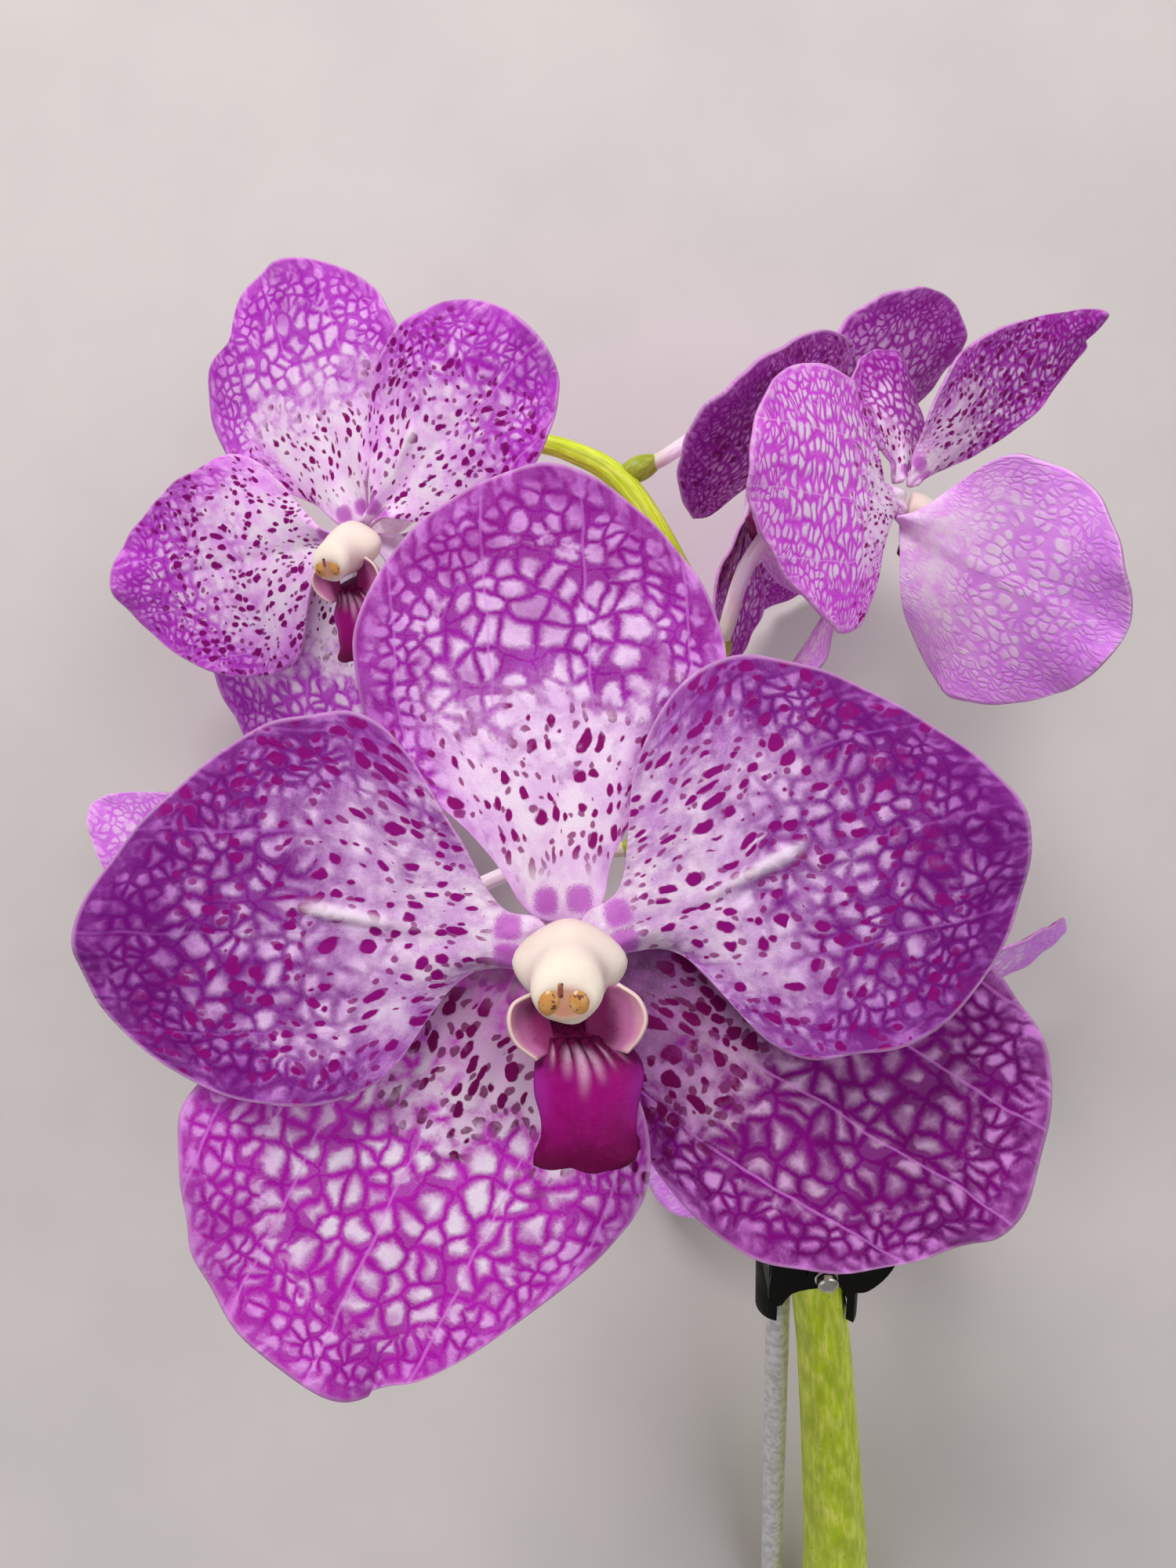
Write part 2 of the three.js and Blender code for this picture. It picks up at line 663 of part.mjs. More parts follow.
function stemGeometry() {
  const curve = new THREE.CatmullRomCurve3(STEM_POINTS.map((p) => vector(p.at)), false, "centripetal");
  const radiusAt = (t) => {
    const at = curve.getUtoTmapping(t) * (STEM_POINTS.length - 1);
    const i = Math.min(Math.floor(at), STEM_POINTS.length - 2);
    return THREE.MathUtils.lerp(STEM_POINTS[i].radius, STEM_POINTS[i + 1].radius, at - i);
  };
  const stem = loft(tubeRings(curve, radiusAt, STEM_RINGS), STEM_SIDES);
  const bracts = BLOOMS.map((bloom) => {
    const { direction } = leaving(bloom);
    const turn = new THREE.Quaternion().setFromUnitVectors(new THREE.Vector3(0, 1, 0), direction);
    return new THREE.SphereGeometry(1, 8, 6)
      .scale(BRACT.radius * bloom.scale, BRACT.length, BRACT.radius * bloom.scale)
      .applyQuaternion(turn)
      .translate(...vector(bloom.node).addScaledVector(direction, BRACT.out));
  });
  return join([stem, ...bracts]);
}

// ---- The clip and the stake ----

// A claw: part of a ring round a rod that runs along y.
function claw({ x, z, inner, from, to, low, high }) {
  const shape = new THREE.Shape();
  shape.absarc(x, z, inner + CLAW_WALL, radians(from), radians(to), false);
  shape.absarc(x, z, inner, radians(to), radians(from), true);
  return new THREE.ExtrudeGeometry(shape, { depth: high - low, bevelEnabled: false, curveSegments: 7 })
    .rotateX(Math.PI / 2)
    .translate(0, high, 0);
}

// A jaw's flat plate, from an outline of points joined by a smooth curve.
function plate(points, z) {
  const corners = [...points, points[0]].map(([x, y]) => new THREE.Vector2(x, y));
  const shape = new THREE.Shape(new THREE.SplineCurve(corners).getPoints(30));
  const flat = new THREE.ExtrudeGeometry(shape, { depth: JAW_THICKNESS, bevelEnabled: false });
  return flat.translate(0, 0, z);
}

const disc = (radius, z, height) =>
  new THREE.CylinderGeometry(radius, radius, height, 16)
    .rotateX(Math.PI / 2)
    .translate(PIVOT.x, PIVOT.y, z + height / 2);

const block = ([x0, x1, y0, y1, z0, z1]) =>
  new THREE.BoxGeometry(x1 - x0, y1 - y0, z1 - z0).translate((x0 + x1) / 2, (y0 + y1) / 2, (z0 + z1) / 2);

function fixedJaw() {
  const wing = plate(FIXED_WING, FIXED_JAW_Z);
  const hub = disc(JAW_HUB_RADIUS, FIXED_JAW_Z, JAW_THICKNESS);
  const made = join([wing, hub, claw(HOOK), block(HOOK_WEB)]);
  return cut(made, [disc(PIN_HOLE_RADIUS, FIXED_JAW_Z - 1, JAW_THICKNESS + 2)]);
}

function movingJaw() {
  const wing = plate(MOVING_WING, MOVING_JAW_Z);
  const hub = disc(JAW_HUB_RADIUS, MOVING_JAW_Z, JAW_THICKNESS);
  const made = join([wing, hub, claw(PRONG), block(PRONG_WEB)]);
  return cut(made, [disc(PIN_HOLE_RADIUS, MOVING_JAW_Z - 1, JAW_THICKNESS + 2)]);
}

function pin() {
  const foot = FIXED_JAW_Z + 0.1;
  const head = MOVING_JAW_Z + JAW_THICKNESS + 4 * SPRING.wire;
  const shank = disc(PIN_RADIUS, foot, head - foot + 0.2);
  return join([shank, disc(PIN_HEAD.radius, head, PIN_HEAD.thickness)]);
}

function spring() {
  const z = MOVING_JAW_Z + JAW_THICKNESS + 2 * SPRING.wire;
  return new THREE.TorusGeometry(SPRING.radius, SPRING.wire, 6, 16).translate(PIVOT.x, PIVOT.y, z);
}

function clipGroup() {
  const along = CLIP_ALONG.clone().normalize();
  const right = along.clone().cross(new THREE.Vector3(0, 0, 1)).normalize();
  const out = right.clone().cross(along);
  const group = new THREE.Group();
  group.quaternion.setFromRotationMatrix(new THREE.Matrix4().makeBasis(right, along, out));
  group.position.copy(CLIP_AT);
  const rod = new THREE.CylinderGeometry(STAKE.radius, STAKE.radius, STAKE.up + STAKE.down, 12);
  rod.translate(STAKE.x, (STAKE.up - STAKE.down) / 2, STAKE.z);
  group.add(mesh("stake", rod, MATERIALS.stake));
  group.add(mesh("clip_fixed_jaw", fixedJaw(), MATERIALS.clip));
  group.add(mesh("clip_moving_jaw", movingJaw(), MATERIALS.clip));
  group.add(mesh("clip_pin", pin(), MATERIALS.clipMetal));
  group.add(mesh("clip_spring", spring(), MATERIALS.clipMetal));
  return group;
}

// ---- The whole spray ----

const spray = new THREE.Group();
spray.position.copy(TO_PART_ORIGIN);
spray.add(mesh("flower_stem", stemGeometry(), MATERIALS.stem));
BLOOMS.forEach((bloom) => addBloom(spray, bloom));
spray.add(clipGroup());

export default spray;
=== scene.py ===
"""A cut spray of vanda orchid: six netted purple blooms on a green stem.

A clip holds the stem to a thin metal stake. The sizes are millimetres in the spray's drawing frame,
which the part's own frame follows at ORIGIN. Each bloom has five tepals, a column, a lip and a
pedicel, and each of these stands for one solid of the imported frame.
"""

from __future__ import annotations

import logging
import math
from collections.abc import Callable, Sequence
from dataclasses import dataclass, replace
from enum import Enum

import bmesh
import bpy
from mathutils import Matrix, Vector

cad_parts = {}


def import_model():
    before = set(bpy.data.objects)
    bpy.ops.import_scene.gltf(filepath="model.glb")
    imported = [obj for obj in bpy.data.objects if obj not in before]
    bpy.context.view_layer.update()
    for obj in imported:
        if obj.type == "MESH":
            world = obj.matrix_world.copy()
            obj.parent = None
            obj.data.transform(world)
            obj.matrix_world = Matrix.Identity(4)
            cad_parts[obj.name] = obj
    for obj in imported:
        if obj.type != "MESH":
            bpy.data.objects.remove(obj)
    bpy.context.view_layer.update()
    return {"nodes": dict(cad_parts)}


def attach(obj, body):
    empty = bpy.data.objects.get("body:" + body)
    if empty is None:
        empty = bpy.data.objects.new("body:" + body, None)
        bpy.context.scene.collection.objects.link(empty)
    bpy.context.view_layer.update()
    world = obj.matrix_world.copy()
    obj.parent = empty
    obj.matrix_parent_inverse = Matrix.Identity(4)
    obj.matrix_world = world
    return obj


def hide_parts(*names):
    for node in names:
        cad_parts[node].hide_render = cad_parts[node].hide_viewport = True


LOG = logging.getLogger("orchid")
MM = 0.001
ORIGIN = Vector((2.05, 42.5, 0.0))
SPRAY = "spray"

Colour = tuple[float, float, float, float]
Triple = tuple[float, float, float]


def srgb(red: int, green: int, blue: int) -> Colour:
    """Turns display values from 0 to 255 into the linear colour that a shader takes."""

    def linear(value: int) -> float:
        """One channel."""
        share = value / 255
        return share / 12.92 if share <= 0.04045 else ((share + 0.055) / 1.055) ** 2.4

    return (linear(red), linear(green), linear(blue), 1.0)


def smoothstep(value: float, low: float, high: float) -> float:
    """Rises smoothly from 0 at low to 1 at high."""
    share = min(max((value - low) / (high - low), 0.0), 1.0)
    return share * share * (3 - 2 * share)


def bell(value: float, middle: float, width: float) -> float:
    """A bell curve that is 1 at its middle."""
    return math.exp(-(((value - middle) / width) ** 2))


# ---- Meshes ----


def shaped_sheet(
    across: int, along: int, place: Callable[[float, float], Vector]
) -> bmesh.types.BMesh:
    """Makes a grid and puts each of its points where place says.

    Args:
        across: How many cells it has in x.
        along: How many cells it has in y.
        place: The point for an (x, y) that runs from -1 to 1 each way.

    Returns:
        The sheet, with a UV map named wrap that runs from 0 to 1 each way.
    """
    sheet = bmesh.new()
    sheet.loops.layers.uv.new("wrap")
    bmesh.ops.create_grid(
        sheet, x_segments=across, y_segments=along, size=1.0, calc_uvs=True
    )
    for vert in sheet.verts:
        vert.co = place(vert.co.x, vert.co.y)
    return sheet


def marked_grid(
    cells: int, *marks: str
) -> tuple[bmesh.types.BMesh, list[bmesh.types.BMLayerItem]]:
    """Makes a grid from -1 to 1 each way, whose points carry named numbers.

    Args:
        cells: How many cells it has each way.
        *marks: The numbers' names.

    Returns:
        The grid, and the layer of each number.
    """
    grid = bmesh.new()
    bmesh.ops.create_grid(grid, x_segments=cells, y_segments=cells, size=1.0)
    return grid, [grid.verts.layers.float.new(name) for name in marks]


def shaped_tube(
    around: int, along: int, place: Callable[[float, float], Vector]
) -> bmesh.types.BMesh:
    """Rolls a grid into a tube, closes its seam and its ends, and turns its faces outwards.

    Args:
        around: How many cells go round it.
        along: How many cells go along it.
        place: The point for an angle in radians and a share of the length.

    Returns:
        The closed tube.
    """
    tube = shaped_sheet(
        around, along, lambda x, y: place((x + 1) * math.pi, (y + 1) / 2)
    )
    bmesh.ops.remove_doubles(tube, verts=tube.verts, dist=1e-4)
    open_edges = [edge for edge in tube.edges if edge.is_boundary]
    if open_edges:
        bmesh.ops.holes_fill(tube, edges=open_edges, sides=around + 1)
    bmesh.ops.recalc_face_normals(tube, faces=tube.faces)
    return tube


def stand(
    made: bmesh.types.BMesh,
    name: str,
    materials: Sequence[bpy.types.Material],
    nodes: Sequence[str] = (),
    body: str = SPRAY,
) -> bpy.types.Object:
    """Turns a finished mesh into a piece of the part.

    Args:
        made: The mesh, in millimetres in the drawing frame.
        name: The piece's name.
        materials: Its materials, in slot order.
        nodes: The solids that it stands for.
        body: The body that it rides on.

    Returns:
        The piece.
    """
    bmesh.ops.translate(made, vec=ORIGIN, verts=made.verts)
    bmesh.ops.scale(made, vec=(MM, MM, MM), verts=made.verts)
    for face in made.faces:
        face.smooth = True
    mesh = bpy.data.meshes.new(name)
    made.to_mesh(mesh)
    made.free()
    for material in materials:
        mesh.materials.append(material)
    piece = bpy.data.objects.new(name, mesh)
    bpy.context.scene.collection.objects.link(piece)
    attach(piece, body)
    if nodes:
        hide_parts(*nodes)
    return piece


def thicken(piece: bpy.types.Object, thickness: float, has_back: bool = True) -> None:
    """Gives a sheet a live wall round its middle surface.

    Args:
        piece: The sheet's piece.
        thickness: The wall, in millimetres.
        has_back: Whether the wall's inner side takes the next material slot.
    """
    wall = piece.modifiers.new("Wall", "SOLIDIFY")
    wall.thickness = thickness * MM
    wall.offset = 0.0
    wall.use_quality_normals = True
    wall.material_offset = 1 if has_back else 0


@dataclass(frozen=True)
class Route:
    """A smooth route through points, walked by its share of the whole length."""

    points: tuple[Vector, ...]
    steps: int = 60

    @classmethod
    def through(cls, *points: Triple) -> Route:
        """A route through points given as (x, y, z)."""
        return cls(tuple(Vector(point) for point in points))

    def _knots(self) -> list[Vector]:
        """The points with one mirrored beyond each end."""
        first, last = self.points[0] * 2 - self.points[1], self.points[-1] * 2 - self.points[-2]
        return [first, *self.points, last]

    def raw(self, at: float) -> Vector:
        """The point at a place counted in spans between the points."""
        knots = self._knots()
        span = min(int(at), len(self.points) - 2)
        four = knots[span : span + 4]
        gaps = [max((b - a).length, 1e-6) ** 0.5 for a, b in zip(four, four[1:], strict=False)]
        times = [0.0, gaps[0], gaps[0] + gaps[1], sum(gaps)]
        t = times[1] + (at - span) * gaps[1]

        def between(a: Vector, b: Vector, low: float, high: float) -> Vector:
            """The point between a at low and b at high."""
            return a * ((high - t) / (high - low)) + b * ((t - low) / (high - low))

        first = [between(four[k], four[k + 1], times[k], times[k + 1]) for k in range(3)]
        second = [between(first[k], first[k + 1], times[k], times[k + 2]) for k in range(2)]
        return between(second[0], second[1], times[1], times[2])

    def walk(self, count: int) -> list[tuple[Vector, Vector, float]]:
        """Places along the route, evenly spaced by length.

        Args:
            count: How many spans there are between the first place and the last.

        Returns:
            For each place its point, its direction, and its place counted in spans.
        """
        fine = len(self.points) * self.steps
        spans = [k / fine * (len(self.points) - 1) for k in range(fine + 1)]
        line = [self.raw(at) for at in spans]
        reach = [0.0]
        for a, b in zip(line, line[1:], strict=False):
            reach.append(reach[-1] + (b - a).length)
        places = []
        k = 0
        for step in range(count + 1):
            goal = reach[-1] * step / count
            while k < fine - 1 and reach[k + 1] < goal:
                k += 1
            share = (goal - reach[k]) / max(reach[k + 1] - reach[k], 1e-9)
            direction = (line[min(k + 2, fine)] - line[max(k - 1, 0)]).normalized()
            at = spans[k] + (spans[k + 1] - spans[k]) * share
            places.append((line[k].lerp(line[k + 1], share), direction, at))
        return places


def tube_along(
    route: Route, around: int, count: int, radius: Callable[[float, float, float], float]
) -> bmesh.types.BMesh:
    """Makes a closed tube along a route.

    Args:
        route: The route of its middle.
        around: How many cells go round it.
        count: How many cells go along it.
        radius: The radius for an angle, a share of the length, and a place counted in spans.

    Returns:
        The tube.
    """
    places = route.walk(count)
    side = places[0][1].orthogonal().normalized()
    frames = []
    for point, direction, at in places:
        side = (side - direction * side.dot(direction)).normalized()
        frames.append((point, side.copy(), direction.cross(side), at))

    def place(angle: float, share: float) -> Vector:
        """A point of the tube's skin."""
        point, a, b, at = frames[round(share * count)]
        reach = radius(angle, share, at)
        return point + (a * math.cos(angle) + b * math.sin(angle)) * reach

    return shaped_tube(around, count, place)


# ---- Shader graphs ----

Value = bpy.types.NodeSocket | float
Tint = bpy.types.NodeSocket | Colour


def set_inputs(node: bpy.types.Node, **values: object) -> None:
    """Sets a node's inputs by name, with _ for each space."""
    for name, value in values.items():
        node.inputs[name.replace("_", " ")].default_value = value


class Graph:
    """A node tree being wired. Each method adds one node and gives the socket that it puts out."""

    def __init__(self, tree: bpy.types.NodeTree) -> None:
        """Starts on a node tree."""
        self.tree = tree

    def node(self, kind: str, **settings: object) -> bpy.types.Node:
        """Adds a node and sets its properties."""
        made = self.tree.nodes.new(kind)
        for name, value in settings.items():
            setattr(made, name, value)
        return made

    def feed(self, socket: bpy.types.NodeSocket, value: object) -> None:
        """Links a socket, or sets its value."""
        if isinstance(value, bpy.types.NodeSocket):
            self.tree.links.new(value, socket)
        else:
            socket.default_value = value

    def math(
        self, operation: str, a: Value, b: Value = 0.0, clamp: bool = False
    ) -> bpy.types.NodeSocket:
        """Adds a Math node."""
        made = self.node("ShaderNodeMath", operation=operation, use_clamp=clamp)
        self.feed(made.inputs[0], a)
        self.feed(made.inputs[1], b)
        return made.outputs[0]

    def times(self, a: Value, b: Value) -> bpy.types.NodeSocket:
        """Multiplies two numbers."""
        return self.math("MULTIPLY", a, b)

    def over(self, a: Value, b: Value) -> bpy.types.NodeSocket:
        """Divides a by b."""
        return self.math("DIVIDE", a, b)

    def plus(self, a: Value, b: Value, clamp: bool = False) -> bpy.types.NodeSocket:
        """Adds two numbers."""
        return self.math("ADD", a, b, clamp)

    def minus(self, a: Value, b: Value) -> bpy.types.NodeSocket:
        """Takes b from a."""
        return self.math("SUBTRACT", a, b)

    def most(self, a: Value, b: Value) -> bpy.types.NodeSocket:
        """Gives the larger of two numbers."""
        return self.math("MAXIMUM", a, b)

    def centred(self, noise: Value, amount: float) -> bpy.types.NodeSocket:
        """Moves a noise to lie round 0, with an amount between its ends."""
        return self.times(self.minus(noise, 0.5), amount)

    def step(
        self, value: Value, low: Value, high: Value, to_low: Value = 0.0, to_high: Value = 1.0
    ) -> bpy.types.NodeSocket:
        """Adds a smooth Map Range, which goes from to_low at low to to_high at high."""
        made = self.node("ShaderNodeMapRange", interpolation_type="SMOOTHSTEP")
        for socket, given in zip(made.inputs, (value, low, high, to_low, to_high), strict=False):
            self.feed(socket, given)
        return made.outputs[0]

    def mix(self, factor: Value, a: Tint, b: Tint, blend: str = "MIX") -> bpy.types.NodeSocket:
        """Adds a colour Mix node."""
        made = self.node("ShaderNodeMix", data_type="RGBA", blend_type=blend, clamp_factor=True)
        self.feed(made.inputs[0], factor)
        self.feed(made.inputs[6], a)
        self.feed(made.inputs[7], b)
        return made.outputs[2]

    def vector(self, operation: str, a: object, b: object) -> bpy.types.NodeSocket:
        """Adds a Vector Math node of two vectors."""
        made = self.node("ShaderNodeVectorMath", operation=operation)
        self.feed(made.inputs[0], a)
        self.feed(made.inputs[1], b)
        return made.outputs[0]

    def scaled(self, a: object, factor: Value) -> bpy.types.NodeSocket:
        """Adds a Vector Math node that scales a vector."""
        made = self.node("ShaderNodeVectorMath", operation="SCALE")
        self.feed(made.inputs[0], a)
        self.feed(made.inputs["Scale"], factor)
        return made.outputs[0]

    def stretched(self, place: object, by: object) -> bpy.types.NodeSocket:
        """Multiplies a place by a vector."""
        return self.vector("MULTIPLY", place, by)

    def shifted(
        self, place: object, noise: bpy.types.Node, amount: float
    ) -> bpy.types.NodeSocket:
        """Moves a place as a noise's colour says, by up to half an amount each way."""
        away = self.vector("SUBTRACT", noise.outputs["Color"], (0.5, 0.5, 0.5))
        return self.vector("ADD", place, self.scaled(away, amount))

    def split(self, vector: object) -> tuple[bpy.types.NodeSocket, bpy.types.NodeSocket]:
        """Gives the x and y of a vector."""
        made = self.node("ShaderNodeSeparateXYZ")
        self.feed(made.inputs[0], vector)
        return made.outputs[0], made.outputs[1]

    def joined(self, x: Value, y: Value, z: Value = 0.0) -> bpy.types.NodeSocket:
        """Gives the vector of three numbers."""
        made = self.node("ShaderNodeCombineXYZ")
        for socket, given in zip(made.inputs, (x, y, z), strict=True):
            self.feed(socket, given)
        return made.outputs[0]

    def noise(
        self, vector: object, scale: float, detail: float = 2.0, roughness: float = 0.5
    ) -> bpy.types.Node:
        """Adds a Noise Texture node."""
        made = self.node("ShaderNodeTexNoise")
        self.feed(made.inputs["Vector"], vector)
        set_inputs(made, Scale=scale, Detail=detail, Roughness=roughness)
        return made

    def noise_at(
        self, vector: object, scale: float, detail: float = 2.0, roughness: float = 0.5
    ) -> bpy.types.NodeSocket:
        """Gives the number of a Noise Texture node."""
        return self.noise(vector, scale, detail, roughness).outputs[0]

    def voronoi(self, vector: object, feature: str, randomness: float) -> bpy.types.Node:
        """Adds a two-dimensional Voronoi Texture node with cells of size 1."""
        made = self.node("ShaderNodeTexVoronoi", voronoi_dimensions="2D", feature=feature)
        self.feed(made.inputs["Vector"], vector)
        set_inputs(made, Scale=1.0, Randomness=randomness)
        return made

    def chances(self, cells: bpy.types.Node) -> tuple[bpy.types.NodeSocket, bpy.types.NodeSocket]:
        """Gives two numbers by chance for each cell of a Voronoi Texture node."""
        made = self.node("ShaderNodeSeparateColor")
        self.feed(made.inputs[0], cells.outputs["Color"])
        return made.outputs[0], made.outputs[1]

    def own_place(self) -> bpy.types.NodeSocket:
        """Gives the place on the piece itself."""
        return self.node("ShaderNodeTexCoord").outputs["Object"]

    def attribute(self, name: str) -> bpy.types.NodeSocket:
        """Reads a number kept on the mesh's points."""
        return self.node("ShaderNodeAttribute", attribute_name=name).outputs["Fac"]

    def uv(self, name: str) -> bpy.types.NodeSocket:
        """Reads one of the mesh's UV maps."""
        return self.node("ShaderNodeUVMap", uv_map=name).outputs[0]

    def place(self, group: bpy.types.NodeTree, **values: object) -> bpy.types.Node:
        """Places a node group and feeds its inputs by name, with _ for each space."""
        made = self.node("ShaderNodeGroup", node_tree=group)
        for name, value in values.items():
            self.feed(made.inputs[name.replace("_", " ")], value)
        return made


class SocketKind(Enum):
    """What kind of value a group's socket carries."""

    NUMBER = "NodeSocketFloat"
    VECTOR = "NodeSocketVector"


def new_group(
    name: str, takes: dict[str, SocketKind], gives: dict[str, SocketKind]
) -> tuple[Graph, bpy.types.Node, bpy.types.Node]:
    """Starts a shader node group.

    Args:
        name: The group's name.
        takes: Its input sockets by name.
        gives: Its output sockets by name.

    Returns:
        Its graph, its input node and its output node.
    """
    tree = bpy.data.node_groups.new(name, "ShaderNodeTree")
    for label, kind in takes.items():
        tree.interface.new_socket(name=label, in_out="INPUT", socket_type=kind.value)
    for label, kind in gives.items():
        tree.interface.new_socket(name=label, in_out="OUTPUT", socket_type=kind.value)
    graph = Graph(tree)
    return graph, graph.node("NodeGroupInput"), graph.node("NodeGroupOutput")


MAP_SPAN = 100.0
CELL_CHANCE = 0.88
SMALL_CELLS = 1.5
BORDER_CELLS = (1.6, 0.5, 0.0)
SPOT_CHANCE = 0.78
SPOTS_PER_MM = (1 / 1.85, 1 / 2.6, 0.0)
SPECKS_PER_MM = (1 / 1.3, 1 / 1.6, 0.0)
VEIN_GAP = 10.4
NET_TAKES = (
    "Share",
    "Rim",
    "Cell",
    "Stretch",
    "Line",
    "Net From",
    "Net Full",
    "Spot To",
    "Spot Size",
    "Margin From",
)
NET_GIVES = ("Net", "Spots", "Cloud", "Stipple", "Vein", "Crown", "Border")


def mesh_of_cells(
    graph: Graph,
    flat: bpy.types.NodeSocket,
    fit: object,
    width: Value,
    patch: bpy.types.NodeSocket,
    grain: bpy.types.NodeSocket,
) -> bpy.types.NodeSocket:
    """Draws one net of rounded cells.

    Args:
        graph: The graph to add it to.
        flat: The place on the blade, in millimetres.
        fit: How many cells there are to a millimetre, each way.
        width: Half the line's width, as a share of a cell.
        patch: A broad noise that fades some cells into the net.
        grain: A fine noise that tears the lines' edges.

    Returns:
        The net, 1 on its lines and 0 inside its cells.
    """
    cells = graph.stretched(flat, fit)
    edge = graph.voronoi(cells, "DISTANCE_TO_EDGE", CELL_CHANCE).outputs["Distance"]
    core = graph.voronoi(cells, "F1", CELL_CHANCE)
    fading, roundness = graph.chances(core)
    torn = graph.centred(grain, 0.2)
    ragged = graph.plus(edge, torn)
    line = graph.step(ragged, graph.times(width, 0.1), graph.times(width, 2.0), 1.0, 0.0)
    reach = graph.step(roundness, 0.0, 1.0, 0.37, 0.6)
    beyond = graph.minus(graph.minus(core.outputs["Distance"], torn), reach)
    corner = graph.step(beyond, -0.16, 0.08, 0.0, 0.92)
    faded = graph.step(fading, 0.5, 1.0, 0.0, 0.6)
    dim = graph.times(faded, graph.step(patch, 0.42, 0.6))
    return graph.most(graph.most(line, corner), dim)


def scattered_marks(
    graph: Graph,
    flat: bpy.types.NodeSocket,
    patch: bpy.types.NodeSocket,
    size: bpy.types.NodeSocket,
) -> bpy.types.NodeSocket:
    """Draws large spots, and small specks between them.

    Args:
        graph: The graph to add them to.
        flat: The place on the blade, in millimetres.
        patch: A broad noise that crowds the spots.
        size: The largest spot's radius, as a share of a spot's cell.

    Returns:
        The marks, 1 inside a spot.
    """
    spot = graph.voronoi(graph.stretched(flat, SPOTS_PER_MM), "F1", SPOT_CHANCE)
    spot_chance, _ = graph.chances(spot)
    crowd = graph.step(patch, 0.35, 0.65, 0.75, 1.15)
    spot_size = graph.times(size, graph.step(spot_chance, 0.12, 0.85))
    mark = graph.minus(graph.times(spot_size, crowd), spot.outputs["Distance"])
    speck = graph.voronoi(graph.stretched(flat, SPECKS_PER_MM), "F1", 1.0)
    speck_chance, _ = graph.chances(speck)
    speck_size = graph.times(size, graph.step(speck_chance, 0.66, 0.74, 0.0, 0.85))
    small_mark = graph.minus(speck_size, speck.outputs["Distance"])
    specks = graph.step(small_mark, -0.05, 0.07, 0.0, 0.85)
    return graph.most(graph.step(mark, -0.04, 0.06), specks)


def net_group() -> bpy.types.NodeTree:
    """Builds the group that draws a tepal's net, veins and spots.

    Its Fan is a map of the blade in units of MAP_SPAN millimetres, and its lengths are millimetres.
    """
    number, vector = SocketKind.NUMBER, SocketKind.VECTOR
    graph, takes, gives = new_group(
        "Net and spots",
        {"Fan": vector} | dict.fromkeys(NET_TAKES, number),
        dict.fromkeys(NET_GIVES, number),
    )
    share, rim = takes.outputs["Share"], takes.outputs["Rim"]
    fan = graph.scaled(takes.outputs["Fan"], MAP_SPAN)
    broad = graph.noise(fan, 0.11, 2.0)
    fine = graph.noise_at(fan, 0.5, 3.0, 0.6)
    grain = graph.noise_at(fan, 2.3, 3.0, 0.65)
    patch = graph.noise_at(fan, 0.2, 1.0)
    bent = graph.shifted(fan, broad, 5.0)
    rough = graph.shifted(bent, graph.noise(fan, 0.42, 1.0), 1.1)

    cell = takes.outputs["Cell"]
    tall = graph.times(cell, takes.outputs["Stretch"])
    fit = graph.joined(graph.over(1.0, cell), graph.over(1.0, tall))
    width = graph.times(takes.outputs["Line"], graph.step(patch, 0.32, 0.68, 0.7, 1.4))
    large = mesh_of_cells(graph, rough, fit, width, patch, grain)
    small = mesh_of_cells(graph, rough, graph.scaled(fit, SMALL_CELLS), width, patch, grain)
    long_fit = graph.stretched(fit, BORDER_CELLS)
    outer = mesh_of_cells(graph, rough, long_fit, graph.times(width, 0.9), patch, grain)
    border_place = graph.plus(rim, graph.centred(fine, 0.3))
    margin = takes.outputs["Margin From"]
    shrink = graph.step(border_place, graph.minus(margin, 0.22), graph.minus(margin, 0.1))
    inner = graph.step(shrink, 0.0, 1.0, large, small)
    border = graph.step(border_place, margin, graph.plus(margin, 0.2))
    net = graph.step(border, 0.0, 1.0, inner, outer)

    drift, frayed = graph.centred(broad.outputs[0], 0.55), graph.centred(fine, 0.35)
    loose = graph.plus(graph.plus(share, drift), frayed)
    outward = graph.times(graph.step(rim, 0.55, 1.0), 0.22)
    spread = graph.plus(loose, outward)
    zone = graph.step(spread, takes.outputs["Net From"], takes.outputs["Net Full"])

    shaken = graph.shifted(bent, graph.noise(fan, 0.9, 1.0), 0.6)
    marks = scattered_marks(graph, shaken, patch, takes.outputs["Spot Size"])
    spot_to = takes.outputs["Spot To"]
    spot_zone = graph.step(loose, graph.minus(spot_to, 0.16), spot_to, 1.0, 0.0)
    near = graph.step(share, 0.07, 0.17)

    x, _ = graph.split(graph.shifted(fan, broad, 1.5))
    rib = graph.math("PINGPONG", graph.over(x, VEIN_GAP), 0.5)
    given = {
        "Net": graph.times(net, zone),
        "Spots": graph.times(graph.times(marks, spot_zone), near),
        "Cloud": graph.step(graph.noise_at(fan, 0.24, 4.0, 0.62), 0.36, 0.66),
        "Stipple": graph.noise_at(fan, 5.0, 2.0, 0.7),
        "Vein": graph.times(graph.step(rib, 0.008, 0.022, 1.0, 0.0), zone),
        "Crown": graph.step(spread, 0.36, 1.1),
        "Border": border,
    }
    for name, value in given.items():
        graph.feed(gives.inputs[name], value)
    return graph.tree


